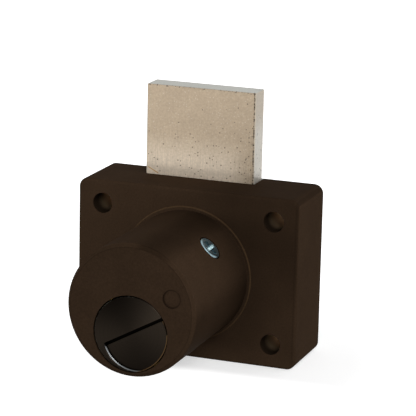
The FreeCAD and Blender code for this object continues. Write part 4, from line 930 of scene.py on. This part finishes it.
def worn_metal(name, light, dark, patch, mark, drawn_out, smooth, rough, mark_depth):
    """A metal of two colours, the dark one in patches, with tool marks.

    Patch, mark and mark_depth are sizes in metres, smooth and rough are the least and the
    greatest roughness, and the marks are long on the axes where drawn_out is small.
    """
    material, tree, place, shader = new_material(name)
    patches = add(tree, "TexNoise", {"Vector": place, "Scale": 1 / patch, "Detail": 4.0})
    drawn = add(tree, "Mapping", {"Vector": place, "Scale": drawn_out})
    tool = add(tree, "TexNoise", {"Vector": drawn.outputs[0], "Scale": 1 / mark,
                                  "Detail": 4.0, "Roughness": 0.65})
    share = add(tree, "MapRange", {"Value": patches.outputs[0], "From Min": PATCH_START,
                                   "From Max": PATCH_FULL})
    base = add(tree, "Mix", {0: share.outputs[0], 6: linear(light), 7: linear(dark)},
               data_type="RGBA")
    lines = add(tree, "MapRange", {"Value": tool.outputs[0], "From Min": 0.5 - NOISE_SPREAD,
                                   "From Max": 0.5 + NOISE_SPREAD, "To Min": MARK_DARK,
                                   "To Max": MARK_LIGHT})
    lined = add(tree, "Mix", {0: 1.0, 6: base.outputs[2], 7: lines.outputs[0]},
                data_type="RGBA", blend_type="MULTIPLY")
    gloss = add(tree, "MapRange", {"Value": tool.outputs[0], "From Min": 0.5 - NOISE_SPREAD,
                                   "From Max": 0.5 + NOISE_SPREAD, "To Min": smooth,
                                   "To Max": rough})
    relief = add(tree, "Bump", {"Height": tool.outputs[0], "Strength": MARK_STRENGTH,
                                "Distance": mark_depth})
    feed_shader(tree, shader, lined, gloss, relief)
    shader.inputs["Metallic"].default_value = 1.0
    return material


cover_zinc = worn_metal(
    "zinc_plated_sheet", light="#B2B7B5", dark="#9CA2A0", patch=2.5 * MM, mark=0.4 * MM,
    drawn_out=DRAWN_ALONG_Z, smooth=0.30, rough=0.48, mark_depth=0.02 * MM)
dress(cover_zinc, "back_cover")


# Tailpiece: a flat bar of zinc-plated steel that carries the plug's turn to the crank.
# Its sides are milled, so the marks run across it.
DRAWN_ROUND_Y = (0.04, 1.0, 0.04)
tail_zinc = worn_metal(
    "zinc_plated_bar", light="#B0B2AC", dark="#85857C", patch=3.0 * MM, mark=0.35 * MM,
    drawn_out=DRAWN_ROUND_Y, smooth=0.30, rough=0.45, mark_depth=0.02 * MM)
dress(tail_zinc, "tailpiece")


# Cover screws: small cold-headed screws under bright zinc, countersunk in the cover and
# driven into the case's screw bosses.
fastener_zinc = worn_metal(
    "bright_zinc_fasteners", light="#C4CDCF", dark="#8D979A", patch=1.5 * MM, mark=0.25 * MM,
    drawn_out=DRAWN_ROUND_Y, smooth=0.20, rough=0.36, mark_depth=0.02 * MM)
dress(fastener_zinc, "cover_screws")


# Cylinder shell: a sleeve turned from brass bar, in which the plug turns. The side
# screw's tip holds it in the bore.
brass = worn_metal(
    "turned_brass", light="#B9974F", dark="#8A6C34", patch=4.0 * MM, mark=0.30 * MM,
    drawn_out=DRAWN_ROUND_Y, smooth=0.24, rough=0.40, mark_depth=0.02 * MM)
dress(brass, "cylinder_shell")


# Spindle bush and thrust washer: pressed and sintered bronze, dark with the oil in its
# pores, so its grain has no direction.
NOT_DRAWN = (1.0, 1.0, 1.0)
bronze = worn_metal(
    "oiled_sintered_bronze", light="#8F6B42", dark="#56402A", patch=1.2 * MM, mark=0.22 * MM,
    drawn_out=NOT_DRAWN, smooth=0.38, rough=0.58, mark_depth=0.04 * MM)
dress(bronze, "spindle_bush", "thrust_washer")


# Drive crank: spindle, hub and arm in one zinc casting, tumbled to a soft grey that has
# no direction.
casting = worn_metal(
    "tumbled_zinc_casting", light="#9A9C9C", dark="#74777A", patch=3.5 * MM, mark=0.7 * MM,
    drawn_out=NOT_DRAWN, smooth=0.40, rough=0.56, mark_depth=0.05 * MM)
dress(casting, "drive_crank")


# Pins and index ball: hardened and ground steel, the smoothest of the metals. The pins
# are pressed into crank, front wall and plug.
ground = worn_metal(
    "ground_steel_pins", light="#A3A5A6", dark="#77797C", patch=2.0 * MM, mark=0.20 * MM,
    drawn_out=DRAWN_ROUND_Y, smooth=0.20, rough=0.34, mark_depth=0.01 * MM)
dress(ground, "crank_pin", "stop_pins", "tailpiece_pin", "detent_ball")


# Springs, clip and ring: spring steel, blued by its tempering to a dark slate colour.
# The leaf lies beside the bolt's foot, the coil behind the ball, the rest on the shafts.
blued = worn_metal(
    "blued_spring_steel", light="#5A6070", dark="#3A3C46", patch=1.8 * MM, mark=0.25 * MM,
    drawn_out=NOT_DRAWN, smooth=0.28, rough=0.42, mark_depth=0.01 * MM)
dress(blued, "bolt_spring", "detent_spring", "plug_clip", "spindle_ring", "disc_spring")
